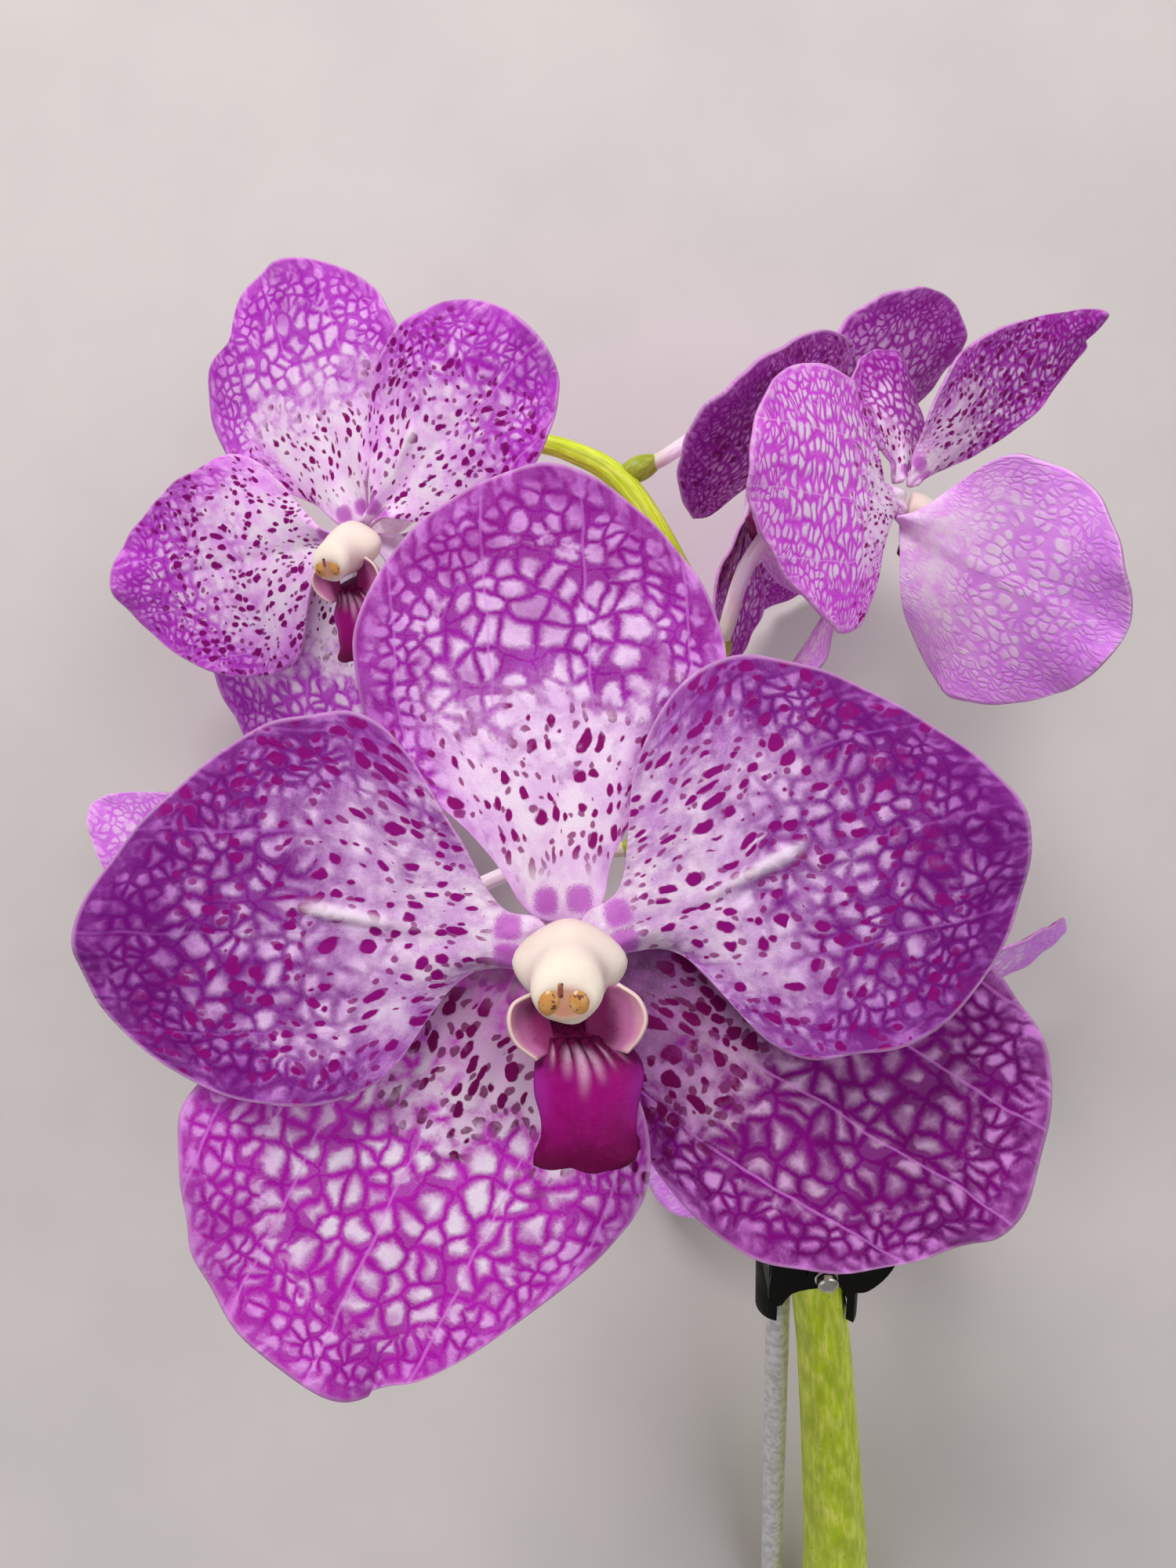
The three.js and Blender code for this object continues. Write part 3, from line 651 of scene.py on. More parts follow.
def fibre_group() -> bpy.types.NodeTree:
    """Builds the group that draws lengthwise fibres and flecks on a stem or a pedicel."""
    number, vector = SocketKind.NUMBER, SocketKind.VECTOR
    graph, takes, gives = new_group(
        "Fibres",
        {"Wrap": vector, "Around": number, "Along": number},
        {"Fibre": number, "Patch": number, "Fleck": number},
    )
    stretch = graph.joined(takes.outputs["Around"], takes.outputs["Along"], 0.0)
    coordinates = graph.stretched(takes.outputs["Wrap"], stretch)
    broad = graph.stretched(coordinates, (0.25, 0.8, 1.0))
    short = graph.stretched(coordinates, (0.7, 6.0, 1.0))
    given = {
        "Fibre": graph.noise_at(coordinates, 1.0, 3.0, 0.6),
        "Patch": graph.step(graph.noise_at(broad, 1.0), 0.35, 0.68),
        "Fleck": graph.step(graph.noise_at(short, 1.0, 2.0, 0.7), 0.66, 0.74),
    }
    for name, value in given.items():
        graph.feed(gives.inputs[name], value)
    return graph.tree


# ---- Finishes ----


def new_material(name: str) -> tuple[bpy.types.Material, Graph, bpy.types.Node]:
    """Starts a material with a Principled BSDF.

    Args:
        name: The material's name.

    Returns:
        The material, its graph and its shader.
    """
    material = bpy.data.materials.new(name)
    material.use_nodes = True
    graph = Graph(material.node_tree)
    shader = next(node for node in material.node_tree.nodes if node.type == "BSDF_PRINCIPLED")
    return material, graph, shader


def paint(graph: Graph, shader: bpy.types.Node, colour: Tint, roughness: Value) -> None:
    """Feeds a shader's colour and roughness."""
    graph.feed(shader.inputs["Base Color"], colour)
    graph.feed(shader.inputs["Roughness"], roughness)


def add_bump(
    graph: Graph, shader: bpy.types.Node, height: Value, strength: float, distance: float
) -> None:
    """Feeds a shader's normal from a height.

    Args:
        graph: The material's graph.
        shader: Its shader.
        height: The height, from 0 to 1.
        strength: How strong the relief is.
        distance: How high a height of 1 is, in millimetres.
    """
    bump = graph.node("ShaderNodeBump")
    set_inputs(bump, Strength=strength, Distance=distance * MM)
    graph.feed(bump.inputs["Height"], height)
    graph.feed(shader.inputs["Normal"], bump.outputs[0])


@dataclass(frozen=True)
class TepalFinish:
    """The netted skin of a tepal's face or back.

    The cell is in millimetres, and the line is a share of it. The net sets in between net_from and
    net_full of the length, and the spots end at spot_to. Two pads of colour lie pad_at along the
    blade, pad_apart from its middle.
    """

    name: str
    cell: float = 2.9
    stretch: float = 1.1
    line: float = 0.11
    net_from: float = 0.3
    net_full: float = 0.58
    spot_to: float = 0.6
    spot_size: float = 0.34
    pad_at: float = 2.6
    pad_apart: float = 1.75
    pad: float = 1.0
    pad_half: tuple[float, float] = (1.35, 1.5)
    pad_square: float = 2.8
    cloud: float = 0.4
    edge: float = 0.7
    margin_from: float = 0.82
    border: float = 0.4
    tip: float = 0.5
    base: Colour = srgb(246, 230, 242)
    ground: Colour = srgb(244, 212, 244)
    blush: Colour = srgb(208, 134, 214)
    far: Colour = srgb(190, 104, 196)
    net: Colour = srgb(164, 52, 172)
    deep: Colour = srgb(124, 12, 126)
    spot: Colour = srgb(122, 12, 104)
    # The colour of the thin painted highlight along the very rim.
    margin: Colour = srgb(230, 176, 228)
    violet: Colour = srgb(184, 74, 188)
    crease: Colour = srgb(248, 232, 246)

    def _pads(self, graph: Graph, stipple: bpy.types.NodeSocket) -> bpy.types.NodeSocket:
        """Draws the two stippled pads at the root, 1 inside them."""
        across, along = graph.split(graph.scaled(graph.uv("flat"), MAP_SPAN))
        half_across, half_along = self.pad_half
        beside = graph.minus(graph.math("ABSOLUTE", across), self.pad_apart)
        ways = (
            graph.over(beside, half_across),
            graph.over(graph.minus(along, self.pad_at), half_along),
        )
        far = [graph.math("POWER", graph.math("ABSOLUTE", way), self.pad_square) for way in ways]
        reach = graph.plus(*far)
        speckled = graph.plus(reach, graph.step(stipple, 0.3, 0.7, -0.45, 0.6))
        return graph.times(graph.step(speckled, 0.35, 1.6, 0.85, 0.0), self.pad)

    def build(self, net: bpy.types.NodeTree) -> bpy.types.Material:
        """Makes the material.

        Args:
            net: The group that draws the net and the spots.

        Returns:
            The material.
        """
        material, graph, shader = new_material(self.name)
        share, rim, keel = (graph.attribute(name) for name in ("share", "rim", "keel"))
        drawn = graph.place(
            net,
            Fan=graph.uv("fan"),
            Share=share,
            Rim=rim,
            Cell=self.cell,
            Stretch=self.stretch,
            Line=self.line,
            Net_From=self.net_from,
            Net_Full=self.net_full,
            Spot_To=self.spot_to,
            Spot_Size=self.spot_size,
            Margin_From=self.margin_from,
        )
        lines, spots, cloud, stipple, vein, crown, border = drawn.outputs
        edge = graph.times(graph.step(rim, 0.5, 1.0), graph.step(share, 0.08, 0.4, 0.0, self.edge))
        tint = graph.plus(graph.times(cloud, self.cloud), edge, True)
        grain = graph.times(graph.step(stipple, 0.42, 0.7), 0.22)
        # Near the root the blade takes its base colour: the real white of the petals and dorsal
        # sepals, but painted shade on most sepal finishes, where the sepals lie under the lip and
        # petals.
        white = graph.mix(graph.step(share, 0.1, 0.48), self.base, self.ground)
        ground = graph.mix(graph.plus(tint, grain, True), white, self.blush)
        distant = graph.mix(graph.times(crown, self.tip), ground, self.far)
        bordered = graph.mix(graph.times(border, self.border), distant, self.blush)
        clump = graph.plus(graph.times(cloud, 0.45), graph.times(crown, self.tip))
        depth = graph.plus(graph.step(stipple, 0.35, 0.75, 0.0, 0.5), clump, True)
        inked = graph.times(lines, graph.step(border, 0.0, 1.0, 1.0, 0.8))
        netted = graph.mix(inked, bordered, graph.mix(depth, self.net, self.deep))
        veined = graph.mix(graph.times(vein, 0.45), netted, self.blush)
        dark = graph.times(graph.times(crown, crown), graph.times(cloud, self.tip))
        crowned = graph.mix(dark, veined, self.deep)
        spotted = graph.mix(spots, crowned, self.spot)
        padded = graph.mix(self._pads(graph, stipple), spotted, self.violet)
        keeled = graph.mix(graph.step(keel, 0.04, 0.8, 0.0, 0.75), padded, self.crease)
        # A thin pale line along the very rim is a painted highlight.
        pale = graph.times(graph.step(rim, 0.975, 1.0), 0.6)
        colour = graph.mix(pale, keeled, self.margin)
        paint(graph, shader, colour, graph.step(stipple, 0.3, 0.7, 0.5, 0.68))
        set_inputs(shader, Specular_IOR_Level=0.1, Subsurface_Weight=0.06, Subsurface_Scale=0.001)
        raised = graph.minus(graph.times(stipple, 0.35), graph.times(lines, 0.6))
        add_bump(graph, shader, raised, 0.5, 0.3)
        return material


@dataclass(frozen=True)
class ColumnFinish:
    """The waxy cream skin of the column."""

    cream: Colour = srgb(246, 232, 216)
    shade: Colour = srgb(226, 196, 190)
    honey: Colour = srgb(192, 122, 92)

    def build(self) -> bpy.types.Material:
        """Makes the material."""
        material, graph, shader = new_material("Waxy cream")
        place = graph.own_place()
        soft = graph.noise_at(place, 260.0, 2.0)
        # Towards its foot the column turns to painted shade; soft noise adds random patches of the
        # same tint.
        low = graph.step(graph.attribute("share"), 0.0, 0.45, 0.5, 0.0)
        blush = graph.plus(low, graph.step(soft, 0.5, 0.8, 0.0, 0.25), True)
        face = graph.times(graph.attribute("face"), 0.9)
        colour = graph.mix(face, graph.mix(blush, self.cream, self.shade), self.honey)
        paint(graph, shader, colour, graph.step(soft, 0.3, 0.7, 0.42, 0.56))
        set_inputs(shader, Specular_IOR_Level=0.2, Subsurface_Weight=0.25, Subsurface_Scale=0.002)
        add_bump(graph, shader, graph.noise_at(place, 2200.0, 2.0), 0.2, 0.1)
        return material


@dataclass(frozen=True)
class AntherFinish:
    """The yellow pollen sacs with their brown marks."""

    name: str = "Pollen yellow"
    yellow: Colour = srgb(206, 148, 78)
    brown: Colour = srgb(108, 42, 28)
    pale: Colour = srgb(216, 172, 118)

    def build(self) -> bpy.types.Material:
        """Makes the material."""
        material, graph, shader = new_material(self.name)
        place = graph.own_place()
        marks = graph.step(graph.noise_at(place, 1300.0, 2.0, 0.7), 0.55, 0.66)
        soft = graph.noise_at(place, 500.0, 1.0)
        body = graph.mix(graph.step(soft, 0.4, 0.7), self.yellow, self.pale)
        colour = graph.mix(graph.times(marks, 0.95), body, self.brown)
        paint(graph, shader, colour, graph.step(soft, 0.3, 0.7, 0.25, 0.4))
        set_inputs(shader, Subsurface_Weight=0.2, Subsurface_Scale=0.001)
        add_bump(graph, shader, marks, 0.3, 0.08)
        return material


@dataclass(frozen=True)
class LipFinish:
    """The velvet magenta of the lip, with pale streaks below its throat and a dark end."""

    magenta: Colour = srgb(150, 0, 112)
    maroon: Colour = srgb(98, 0, 60)
    throat: Colour = srgb(116, 8, 74)
    shadow: Colour = srgb(78, 0, 48)
    streak: Colour = srgb(228, 174, 208)
    violet: Colour = srgb(164, 44, 160)
    nap: Colour = srgb(190, 40, 150)

    def build(self) -> bpy.types.Material:
        """Makes the material."""
        material, graph, shader = new_material("Velvet magenta")
        share, streak, side = (graph.attribute(name) for name in ("share", "streak", "side"))
        place = graph.own_place()
        velvet = graph.noise_at(place, 1100.0, 3.0, 0.6)
        broad = graph.noise_at(place, 300.0, 2.0)
        loose = graph.plus(share, graph.centred(broad, 0.3))
        body = graph.mix(graph.step(loose, 0.4, 0.92), self.magenta, self.maroon)
        flank = graph.times(graph.step(side, 0.6, 0.98), graph.step(share, 0.7, 0.4, 0.0, 0.7))
        sided = graph.mix(flank, body, self.violet)
        # The dark band at the top of the lip, under the column, is painted shade: the throat colour
        # mottled with the shadow colour.
        reach = graph.plus(graph.step(side, 0.2, 1.0, 0.27, 0.4), graph.times(broad, 0.06))
        high = graph.times(graph.step(share, 0.1, reach, 1.0, 0.0), 0.96)
        fleck = graph.noise_at(graph.stretched(place, (1.0, 0.25, 1.0)), 2600.0, 2.0, 0.6)
        deep = graph.mix(graph.step(fleck, 0.42, 0.58), self.throat, self.shadow)
        throat = graph.mix(high, sided, deep)
        torn = graph.times(streak, graph.step(velvet, 0.25, 0.5, 0.6, 1.0))
        streaked = graph.mix(graph.times(torn, 0.9), throat, self.streak)
        grain = graph.times(graph.step(velvet, 0.55, 0.8), 0.16)
        colour = graph.mix(grain, streaked, self.nap)
        paint(graph, shader, colour, graph.step(velvet, 0.3, 0.7, 0.4, 0.58))
        set_inputs(shader, Specular_IOR_Level=0.12)
        add_bump(graph, shader, velvet, 0.5, 0.2)
        return material


@dataclass(frozen=True)
class LobeFinish:
    """The side lobes: a cream rim, a mauve inside, and dark lace towards the throat."""

    cream: Colour = srgb(240, 210, 202)
    mauve: Colour = srgb(188, 108, 160)
    dark: Colour = srgb(132, 16, 92)
    rose: Colour = srgb(222, 166, 184)

    def build(self) -> bpy.types.Material:
        """Makes the material."""
        material, graph, shader = new_material("Lobe cream")
        depth = graph.attribute("share")
        place = graph.own_place()
        soft = graph.noise_at(place, 420.0, 2.0)
        loose = graph.plus(depth, graph.centred(soft, 0.35))
        inner = graph.mix(graph.step(loose, 0.0, 0.3), self.rose, self.mauve)
        body = graph.mix(graph.step(loose, 0.3, 0.75), inner, self.dark)
        lace = graph.step(graph.noise_at(place, 1500.0, 3.0, 0.7), 0.55, 0.62)
        laced = graph.times(lace, graph.step(loose, 0.4, 0.65, 0.0, 0.7))
        inside = graph.mix(laced, body, self.dark)
        edged = graph.mix(graph.step(depth, 0.0, 0.055, 0.9, 0.0), inside, self.cream)
        paint(graph, shader, edged, graph.step(soft, 0.3, 0.7, 0.38, 0.5))
        set_inputs(shader, Specular_IOR_Level=0.35, Subsurface_Weight=0.12, Subsurface_Scale=0.0008)
        add_bump(graph, shader, soft, 0.2, 0.15)
        return material


@dataclass(frozen=True)
class PedicelFinish:
    """The pinkish white of a pedicel, greener where it leaves its bract."""

    around: float = 18.0
    along: float = 9.0
    pale: Colour = srgb(255, 242, 250)
    pink: Colour = srgb(240, 194, 210)
    green: Colour = srgb(190, 200, 120)
    rosy: Colour = srgb(214, 170, 190)

    def build(self, fibres: bpy.types.NodeTree) -> bpy.types.Material:
        """Makes the material.

        Args:
            fibres: The group that draws fibres.

        Returns:
            The material.
        """
        material, graph, shader = new_material("Pedicel pink")
        wrap = graph.uv("wrap")
        drawn = graph.place(fibres, Wrap=wrap, Around=self.around, Along=self.along)
        fibre, patch, fleck = drawn.outputs
        _, along = graph.split(wrap)
        body = graph.mix(graph.times(graph.step(fibre, 0.4, 0.7), 0.7), self.pale, self.pink)
        green = graph.mix(graph.step(along, 0.0, 0.22, 0.6, 0.0), body, self.green)
        blush = graph.mix(graph.times(patch, 0.3), green, self.rosy)
        colour = graph.mix(graph.times(fleck, 0.2), blush, self.pink)
        paint(graph, shader, colour, graph.step(patch, 0.0, 1.0, 0.38, 0.52))
        set_inputs(shader, Subsurface_Weight=0.15, Subsurface_Scale=0.0015)
        add_bump(graph, shader, fibre, 0.3, 0.2)
        return material


@dataclass(frozen=True)
class StemFinish:
    """The streaked green of the flower stem and its bracts."""

    name: str = "Stem green"
    around: float = 40.0
    along: float = 44.0
    green: Colour = srgb(206, 230, 20)
    light: Colour = srgb(248, 252, 112)
    dark: Colour = srgb(150, 174, 8)
    brown: Colour = srgb(104, 92, 40)

    def build(self, fibres: bpy.types.NodeTree) -> bpy.types.Material:
        """Makes the material.

        Args:
            fibres: The group that draws fibres.

        Returns:
            The material.
        """
        material, graph, shader = new_material(self.name)
        wrap = graph.uv("wrap")
        drawn = graph.place(fibres, Wrap=wrap, Around=self.around, Along=self.along)
        fibre, patch, fleck = drawn.outputs
        streak = graph.mix(graph.step(fibre, 0.4, 0.68), self.green, self.light)
        body = graph.mix(graph.times(patch, 0.5), streak, self.dark)
        marked = graph.mix(graph.times(fleck, 0.55), body, self.brown)
        paint(graph, shader, marked, graph.step(fibre, 0.3, 0.7, 0.34, 0.52))
        set_inputs(shader, Subsurface_Weight=0.06, Subsurface_Scale=0.002, Specular_IOR_Level=0.3)
        add_bump(graph, shader, fibre, 0.35, 0.25)
        return material


@dataclass(frozen=True)
class RodFinish:
    """The dull zinc coat of the stake, with its spangle and scuffs."""

    light: Colour = srgb(242, 242, 242)
    dark: Colour = srgb(210, 208, 206)
    scuffed: Colour = srgb(196, 194, 190)

    def build(self) -> bpy.types.Material:
        """Makes the material."""
        material, graph, shader = new_material("Zinc coat")
        place = graph.own_place()
        blotch = graph.noise_at(place, 900.0, 3.0, 0.6)
        scuff = graph.noise_at(graph.stretched(place, (1.0, 0.12, 1.0)), 1400.0, 2.0)
        mixed = graph.mix(graph.step(blotch, 0.36, 0.62), self.dark, self.light)
        colour = graph.mix(graph.step(scuff, 0.6, 0.8, 0.0, 0.4), mixed, self.scuffed)
        paint(graph, shader, colour, graph.step(blotch, 0.3, 0.7, 0.42, 0.62))
        set_inputs(shader, Metallic=0.3)
        add_bump(graph, shader, graph.plus(blotch, scuff), 0.25, 0.12)
        return material


@dataclass(frozen=True)
class PlasticFinish:
    """The moulded black plastic of the clip, with lighter olive patches that are partly wear and
    partly a painted reflection of the green stem.
    """

    black: Colour = srgb(10, 11, 8)
    wear_and_reflection: Colour = srgb(32, 34, 24)

    def build(self) -> bpy.types.Material:
        """Makes the material."""
        material, graph, shader = new_material("Moulded black")
        place = graph.own_place()
        grain = graph.noise_at(place, 3200.0, 2.0, 0.6)
        smear = graph.noise_at(place, 220.0, 3.0, 0.6)
        # The olive patches are partly wear and partly a painted reflection of the green stem.
        colour = graph.mix(graph.step(smear, 0.5, 0.8, 0.0, 0.6), self.black, self.wear_and_reflection)
        paint(graph, shader, colour, graph.step(smear, 0.3, 0.7, 0.42, 0.6))
        set_inputs(shader, Specular_IOR_Level=0.1)
        add_bump(graph, shader, grain, 0.25, 0.08)
        return material


@dataclass(frozen=True)
class RivetFinish:
    """The bright steel of the clip's pin and spring, with olive patches that are partly tarnish and
    partly a painted reflection of the green stem.
    """

    bright: Colour = srgb(214, 212, 200)
    tarnish_and_reflection: Colour = srgb(120, 112, 72)

    def build(self) -> bpy.types.Material:
        """Makes the material."""
        material, graph, shader = new_material("Rivet steel")
        place = graph.own_place()
        haze = graph.noise_at(place, 700.0, 3.0, 0.6)
        # The olive patches are partly tarnish and partly a painted reflection of the green stem.
        colour = graph.mix(graph.step(haze, 0.45, 0.75), self.bright, self.tarnish_and_reflection)
        paint(graph, shader, colour, graph.step(haze, 0.3, 0.7, 0.18, 0.36))
        set_inputs(shader, Metallic=1.0)
        add_bump(graph, shader, haze, 0.15, 0.08)
        return material


# ---- Tepals ----

STATIONS = (0.0, 0.1, 0.2, 0.35, 0.55, 0.8, 1.0)
BLADE = 0.5
FLOOR_GAP = 0.02
CRIMP = 0.006
CRINKLE = 0.3
GROOVE_DEPTH = 0.25
GROOVE_HALF = 1.2
FAN_END = 0.5


class Looks(Enum):
    """How a bloom's net and spots are coloured."""

    OPEN = "open"
    PALE = "pale"
    DEEP = "deep"


class Net(Enum):
    """Which net a tepal wears on its face."""

    DORSAL = "dorsal"
    PETAL = "petal"
    SEPAL = "sepal"
    # This net and the next are copies of the sepal net with painted light: this one darkened as
    # painted shade, the next one lightened as painted light.
    DUSK = "dusk"
    BRIGHT = "bright"


class Seat(Enum):
    """Where a tepal sits on its bloom: its name, its usual net, and how far forward it lies."""

    DORSAL_SEPAL = ("dorsal_sepal", Net.DORSAL, 0.0)
    PETAL_LEFT = ("petal_left", Net.PETAL, 1.3)
    PETAL_RIGHT = ("petal_right", Net.PETAL, 1.3)
    SEPAL_LEFT = ("sepal_left", Net.SEPAL, 0.35)
    SEPAL_RIGHT = ("sepal_right", Net.SEPAL, -0.45)

    def __init__(self, label: str, net: Net, layer: float) -> None:
        """Keeps the parts of a seat's value under their names."""
        self.label = label
        self.net = net
        self.layer = layer


def at_station(values: Sequence[float], share: float) -> float:
    """Reads a smooth curve through the values at STATIONS.

    Args:
        values: One value for each station.
        share: The share of the length.

    Returns:
        The value there.
    """
    last = len(STATIONS) - 1

    def slope(k: int) -> float:
        """The curve's slope at a station."""
        a, b = max(k - 1, 0), min(k + 1, last)
        return (values[b] - values[a]) / (STATIONS[b] - STATIONS[a])

    i = 0
    while i < last - 1 and share > STATIONS[i + 1]:
        i += 1
    h = STATIONS[i + 1] - STATIONS[i]
    u = (share - STATIONS[i]) / h
    return (
        (1 + 2 * u) * (1 - u) ** 2 * values[i]
        + u * (1 - u) ** 2 * h * slope(i)
        + u * u * (3 - 2 * u) * values[i + 1]
        + u * u * (u - 1) * h * slope(i + 1)
    )


@dataclass(frozen=True)
class Outline:
    """A tepal's outline: its length and its half-widths at the stations."""

    length: float
    left: tuple[float, ...]
    right: tuple[float, ...]


class Shape(Enum):
    """The outlines that the tepals are cut to."""

    DORSAL = Outline(48.5, (12, 9.2, 11, 16.8, 20.6, 21.3, 19), (12, 8, 9.2, 15, 19, 18.3, 16))
    PETAL_LEFT = Outline(48.6, (8, 4.4, 5.4, 14.6, 16.6, 16.6, 16), (8, 5, 14, 22.8, 23, 19.5, 14))
    PETAL_RIGHT = Outline(47.5, (8, 5.6, 18.5, 24, 23.3, 19, 15), (8, 4.4, 5.2, 16.3, 18.8, 20, 17))
    SEPAL_LEFT = Outline(56.5, (4, 12, 19, 20, 17.2, 12.4, 8), (9, 14, 18.5, 24, 28.5, 29, 37))
    SEPAL_RIGHT = Outline(60, (6, 9, 14, 19, 22, 24.5, 29), (6, 10, 13.5, 17, 18.5, 17, 13))
    BROAD_DORSAL = Outline(45.5, (10, 9.5, 13.5, 20, 24, 24, 22), (6, 6.5, 9.5, 15, 19, 20, 18))
    LONG_PETAL = Outline(54.5, (2, 3, 10, 20, 21, 18.8, 17), (2, 5, 14, 19, 17, 15, 15))
    SLIM_PETAL = Outline(45, (2, 3, 8, 14, 17, 19, 19), (2, 2.5, 8, 14, 15, 15, 16))
    SMALL_DORSAL = Outline(28, (3, 4, 7, 10, 11, 11, 10), (3, 4, 7, 10, 11, 11, 10))
    WEDGE_PETAL = Outline(51, (3, 6, 11, 15, 16, 12, 9), (3, 6, 11, 15, 16, 12, 9))
    TALL_PETAL = Outline(56, (3, 6, 11, 14.5, 13, 9, 7), (3, 3.5, 5, 6, 6.5, 6, 6))
    ROUND_SEPAL = Outline(46, (3, 11, 20, 25, 24, 21, 19), (2.5, 6, 13, 19, 20, 20, 19))
    PLAIN_SEPAL = Outline(50, (3, 5, 9, 14, 16, 15, 14), (3, 5, 9, 14, 16, 15, 14))
    YOUNG_SEPAL = Outline(28, (2, 2.5, 4.5, 7, 8, 8, 7), (2, 2.5, 4.5, 7, 8, 8, 7))
    SLIM_SEPAL = Outline(44, (3, 4.5, 7.5, 11, 13, 14, 14), (3, 4.5, 7.5, 11, 13, 14, 14))


@dataclass(frozen=True)
class Keel:
    """A raised white crease on a petal, from near its root to its sharp outer end."""

    root: tuple[float, float]
    tip: tuple[float, float]
    height: float = 0.95
    width: float = 0.36

    def at(self, across: float, along: float) -> float:
        """How much of the crease there is at a point of the blade, from 0 to 1."""
        dx, dy = self.tip[0] - self.root[0], self.tip[1] - self.root[1]
        run = dx * dx + dy * dy
        t = ((across - self.root[0]) * dx + (along - self.root[1]) * dy) / run
        off = ((across - self.root[0]) * dy - (along - self.root[1]) * dx) / math.sqrt(run)
        if not -0.3 < t < 1.1:
            return 0.0
        body = smoothstep(t, 0.0, 0.85) * (1 - smoothstep(t, 0.8, 1.09))
        slope = 1.0 if off < 0 else 3.0 * max(t, 0.1)
        return body * math.exp(-((abs(off) / (self.width * slope)) ** 1.6))


@dataclass(frozen=True)
class Tepal:
    """One tepal of a bloom, set as its solid is, with finer relief.

    The azimuth is clockwise from the bloom's top seen from its front, the pitch is towards the
    viewer, bend is along the length, cup lifts the edges, and wave is the rim's height, waves and
    phase. The notch is a bite in the rim, as its angle, depth and width. The net stands in for the
    seat's own, and fan narrows the marks towards the root.
    """

    shape: Shape
    azimuth: float
    pitch: float
    bend: float
    cup: float
    wave: Triple
    twist: float = 0.0
    start: float = 1.5
    notch: Triple | None = None
    keel: Keel | None = None
    net: Net | None = None
    fan: float = 0.7

    def flat(self, x: float, y: float) -> tuple[float, float, float, float]:
        """The place on the flat blade for (x, y).

        Args:
            x: From -1 to 1 across.
            y: From -1 to 1 along.

        Returns:
            Its distance across and along in millimetres, its share of the way to the rim, and its
            angle round the rim.
        """
        outline = self.shape.value
        across = x * math.sqrt(1 - y * y / 2)
        along = y * math.sqrt(1 - x * x / 2)
        rim = math.hypot(across, along)
        angle = math.atan2(across, along)
        if self.notch:
            at, depth, width = self.notch
            pull = 1 - depth * bell(angle, math.radians(at), math.radians(width)) * rim**4
            across *= pull
            along *= pull
        teeth = math.sin(11 * angle + self.azimuth) + 0.6 * math.sin(19 * angle)
        crimp = 1 + CRIMP * rim**6 * teeth
        share = (along + 1) / 2
        soft = 0.02 + 0.45 * share**6
        lean = smoothstep(across, -soft, soft)
        left, right = at_station(outline.left, share), at_station(outline.right, share)
        half = left * (1 - lean) + right * lean
        return across * half * crimp, outline.length * share, rim, angle

    def point(self, x: float, y: float, layer: float) -> Vector:
        """The point of the middle surface for (x, y), in the bloom's frame before its scale.

        Args:
            x: From -1 to 1 across.
            y: From -1 to 1 along.
            layer: How far forward the tepal lies.

        Returns:
            The point.
        """
        outline = self.shape.value
        across, along, rim, angle = self.flat(x, y)
        half = max(*outline.left, *outline.right)
        height, waves, phase = self.wave
        z = self.cup * (across / half) ** 2 + height * rim**3 * math.sin(waves * angle + phase)
        crinkle = math.sin(9 * angle + phase) + 0.6 * math.sin(17 * angle + 2 * phase)
        z += CRINKLE * rim**8 * crinkle
        z -= GROOVE_DEPTH * bell(across, 0.0, GROOVE_HALF) * (1 - rim**4)
        if self.keel:
            z += self.keel.height * self.keel.at(across, along)
        curvature = math.radians(self.bend or 1e-3) / outline.length
        turn = curvature * along
        bent = Vector(
            (
                across,
                math.sin(turn) / curvature - z * math.sin(turn),
                (1 - math.cos(turn)) / curvature + z * math.cos(turn),
            )
        )
        bent.rotate(Matrix.Rotation(math.radians(self.twist), 3, "Y"))
        bent.rotate(Matrix.Rotation(math.radians(self.pitch), 3, "X"))
        bent += Vector((0, self.start, layer))
        bent.rotate(Matrix.Rotation(-math.radians(self.azimuth), 3, "Z"))
        return bent

    def build(self, place: Matrix, layer: float, cells: int, seed: float) -> bmesh.types.BMesh:
        """Makes the blade's middle surface.

        Args:
            place: The bloom's frame.
            layer: How far forward the tepal lies.
            cells: How many cells it has each way.
            seed: Where its net starts, which no other tepal shares.

        Returns:
            The surface, with the maps fan and flat and the numbers share, rim and keel.
        """
        blade, (share, rim_share, keel) = marked_grid(cells, "share", "rim", "keel")
        fan, flat = blade.loops.layers.uv.new("fan"), blade.loops.layers.uv.new("flat")
        length = self.shape.value.length
        maps = {}
        for vert in blade.verts:
            across, along, rim, _ = self.flat(vert.co.x, vert.co.y)
            fanned = across * (1 + self.fan * (1 - smoothstep(along / length, 0.0, FAN_END)))
            maps[vert.index] = (
                (fanned / MAP_SPAN + seed, along / MAP_SPAN),
                (across / MAP_SPAN, along / MAP_SPAN),
            )
            vert[share] = along / length
            vert[rim_share] = rim
            vert[keel] = self.keel.at(across, along) if self.keel else 0.0
            spot = place @ self.point(vert.co.x, vert.co.y, layer)
            spot.z = max(spot.z, BLADE / 2 + FLOOR_GAP)
            vert.co = spot
        for face in blade.faces:
            for loop in face.loops:
                loop[fan].uv, loop[flat].uv = maps[loop.vert.index]
        return blade


# ---- Column and lip ----


@dataclass(frozen=True)
class Ring:
    """An oval section: its centre and its two half-axes."""

    x: float
    y: float
    z: float
    across: float
    high: float


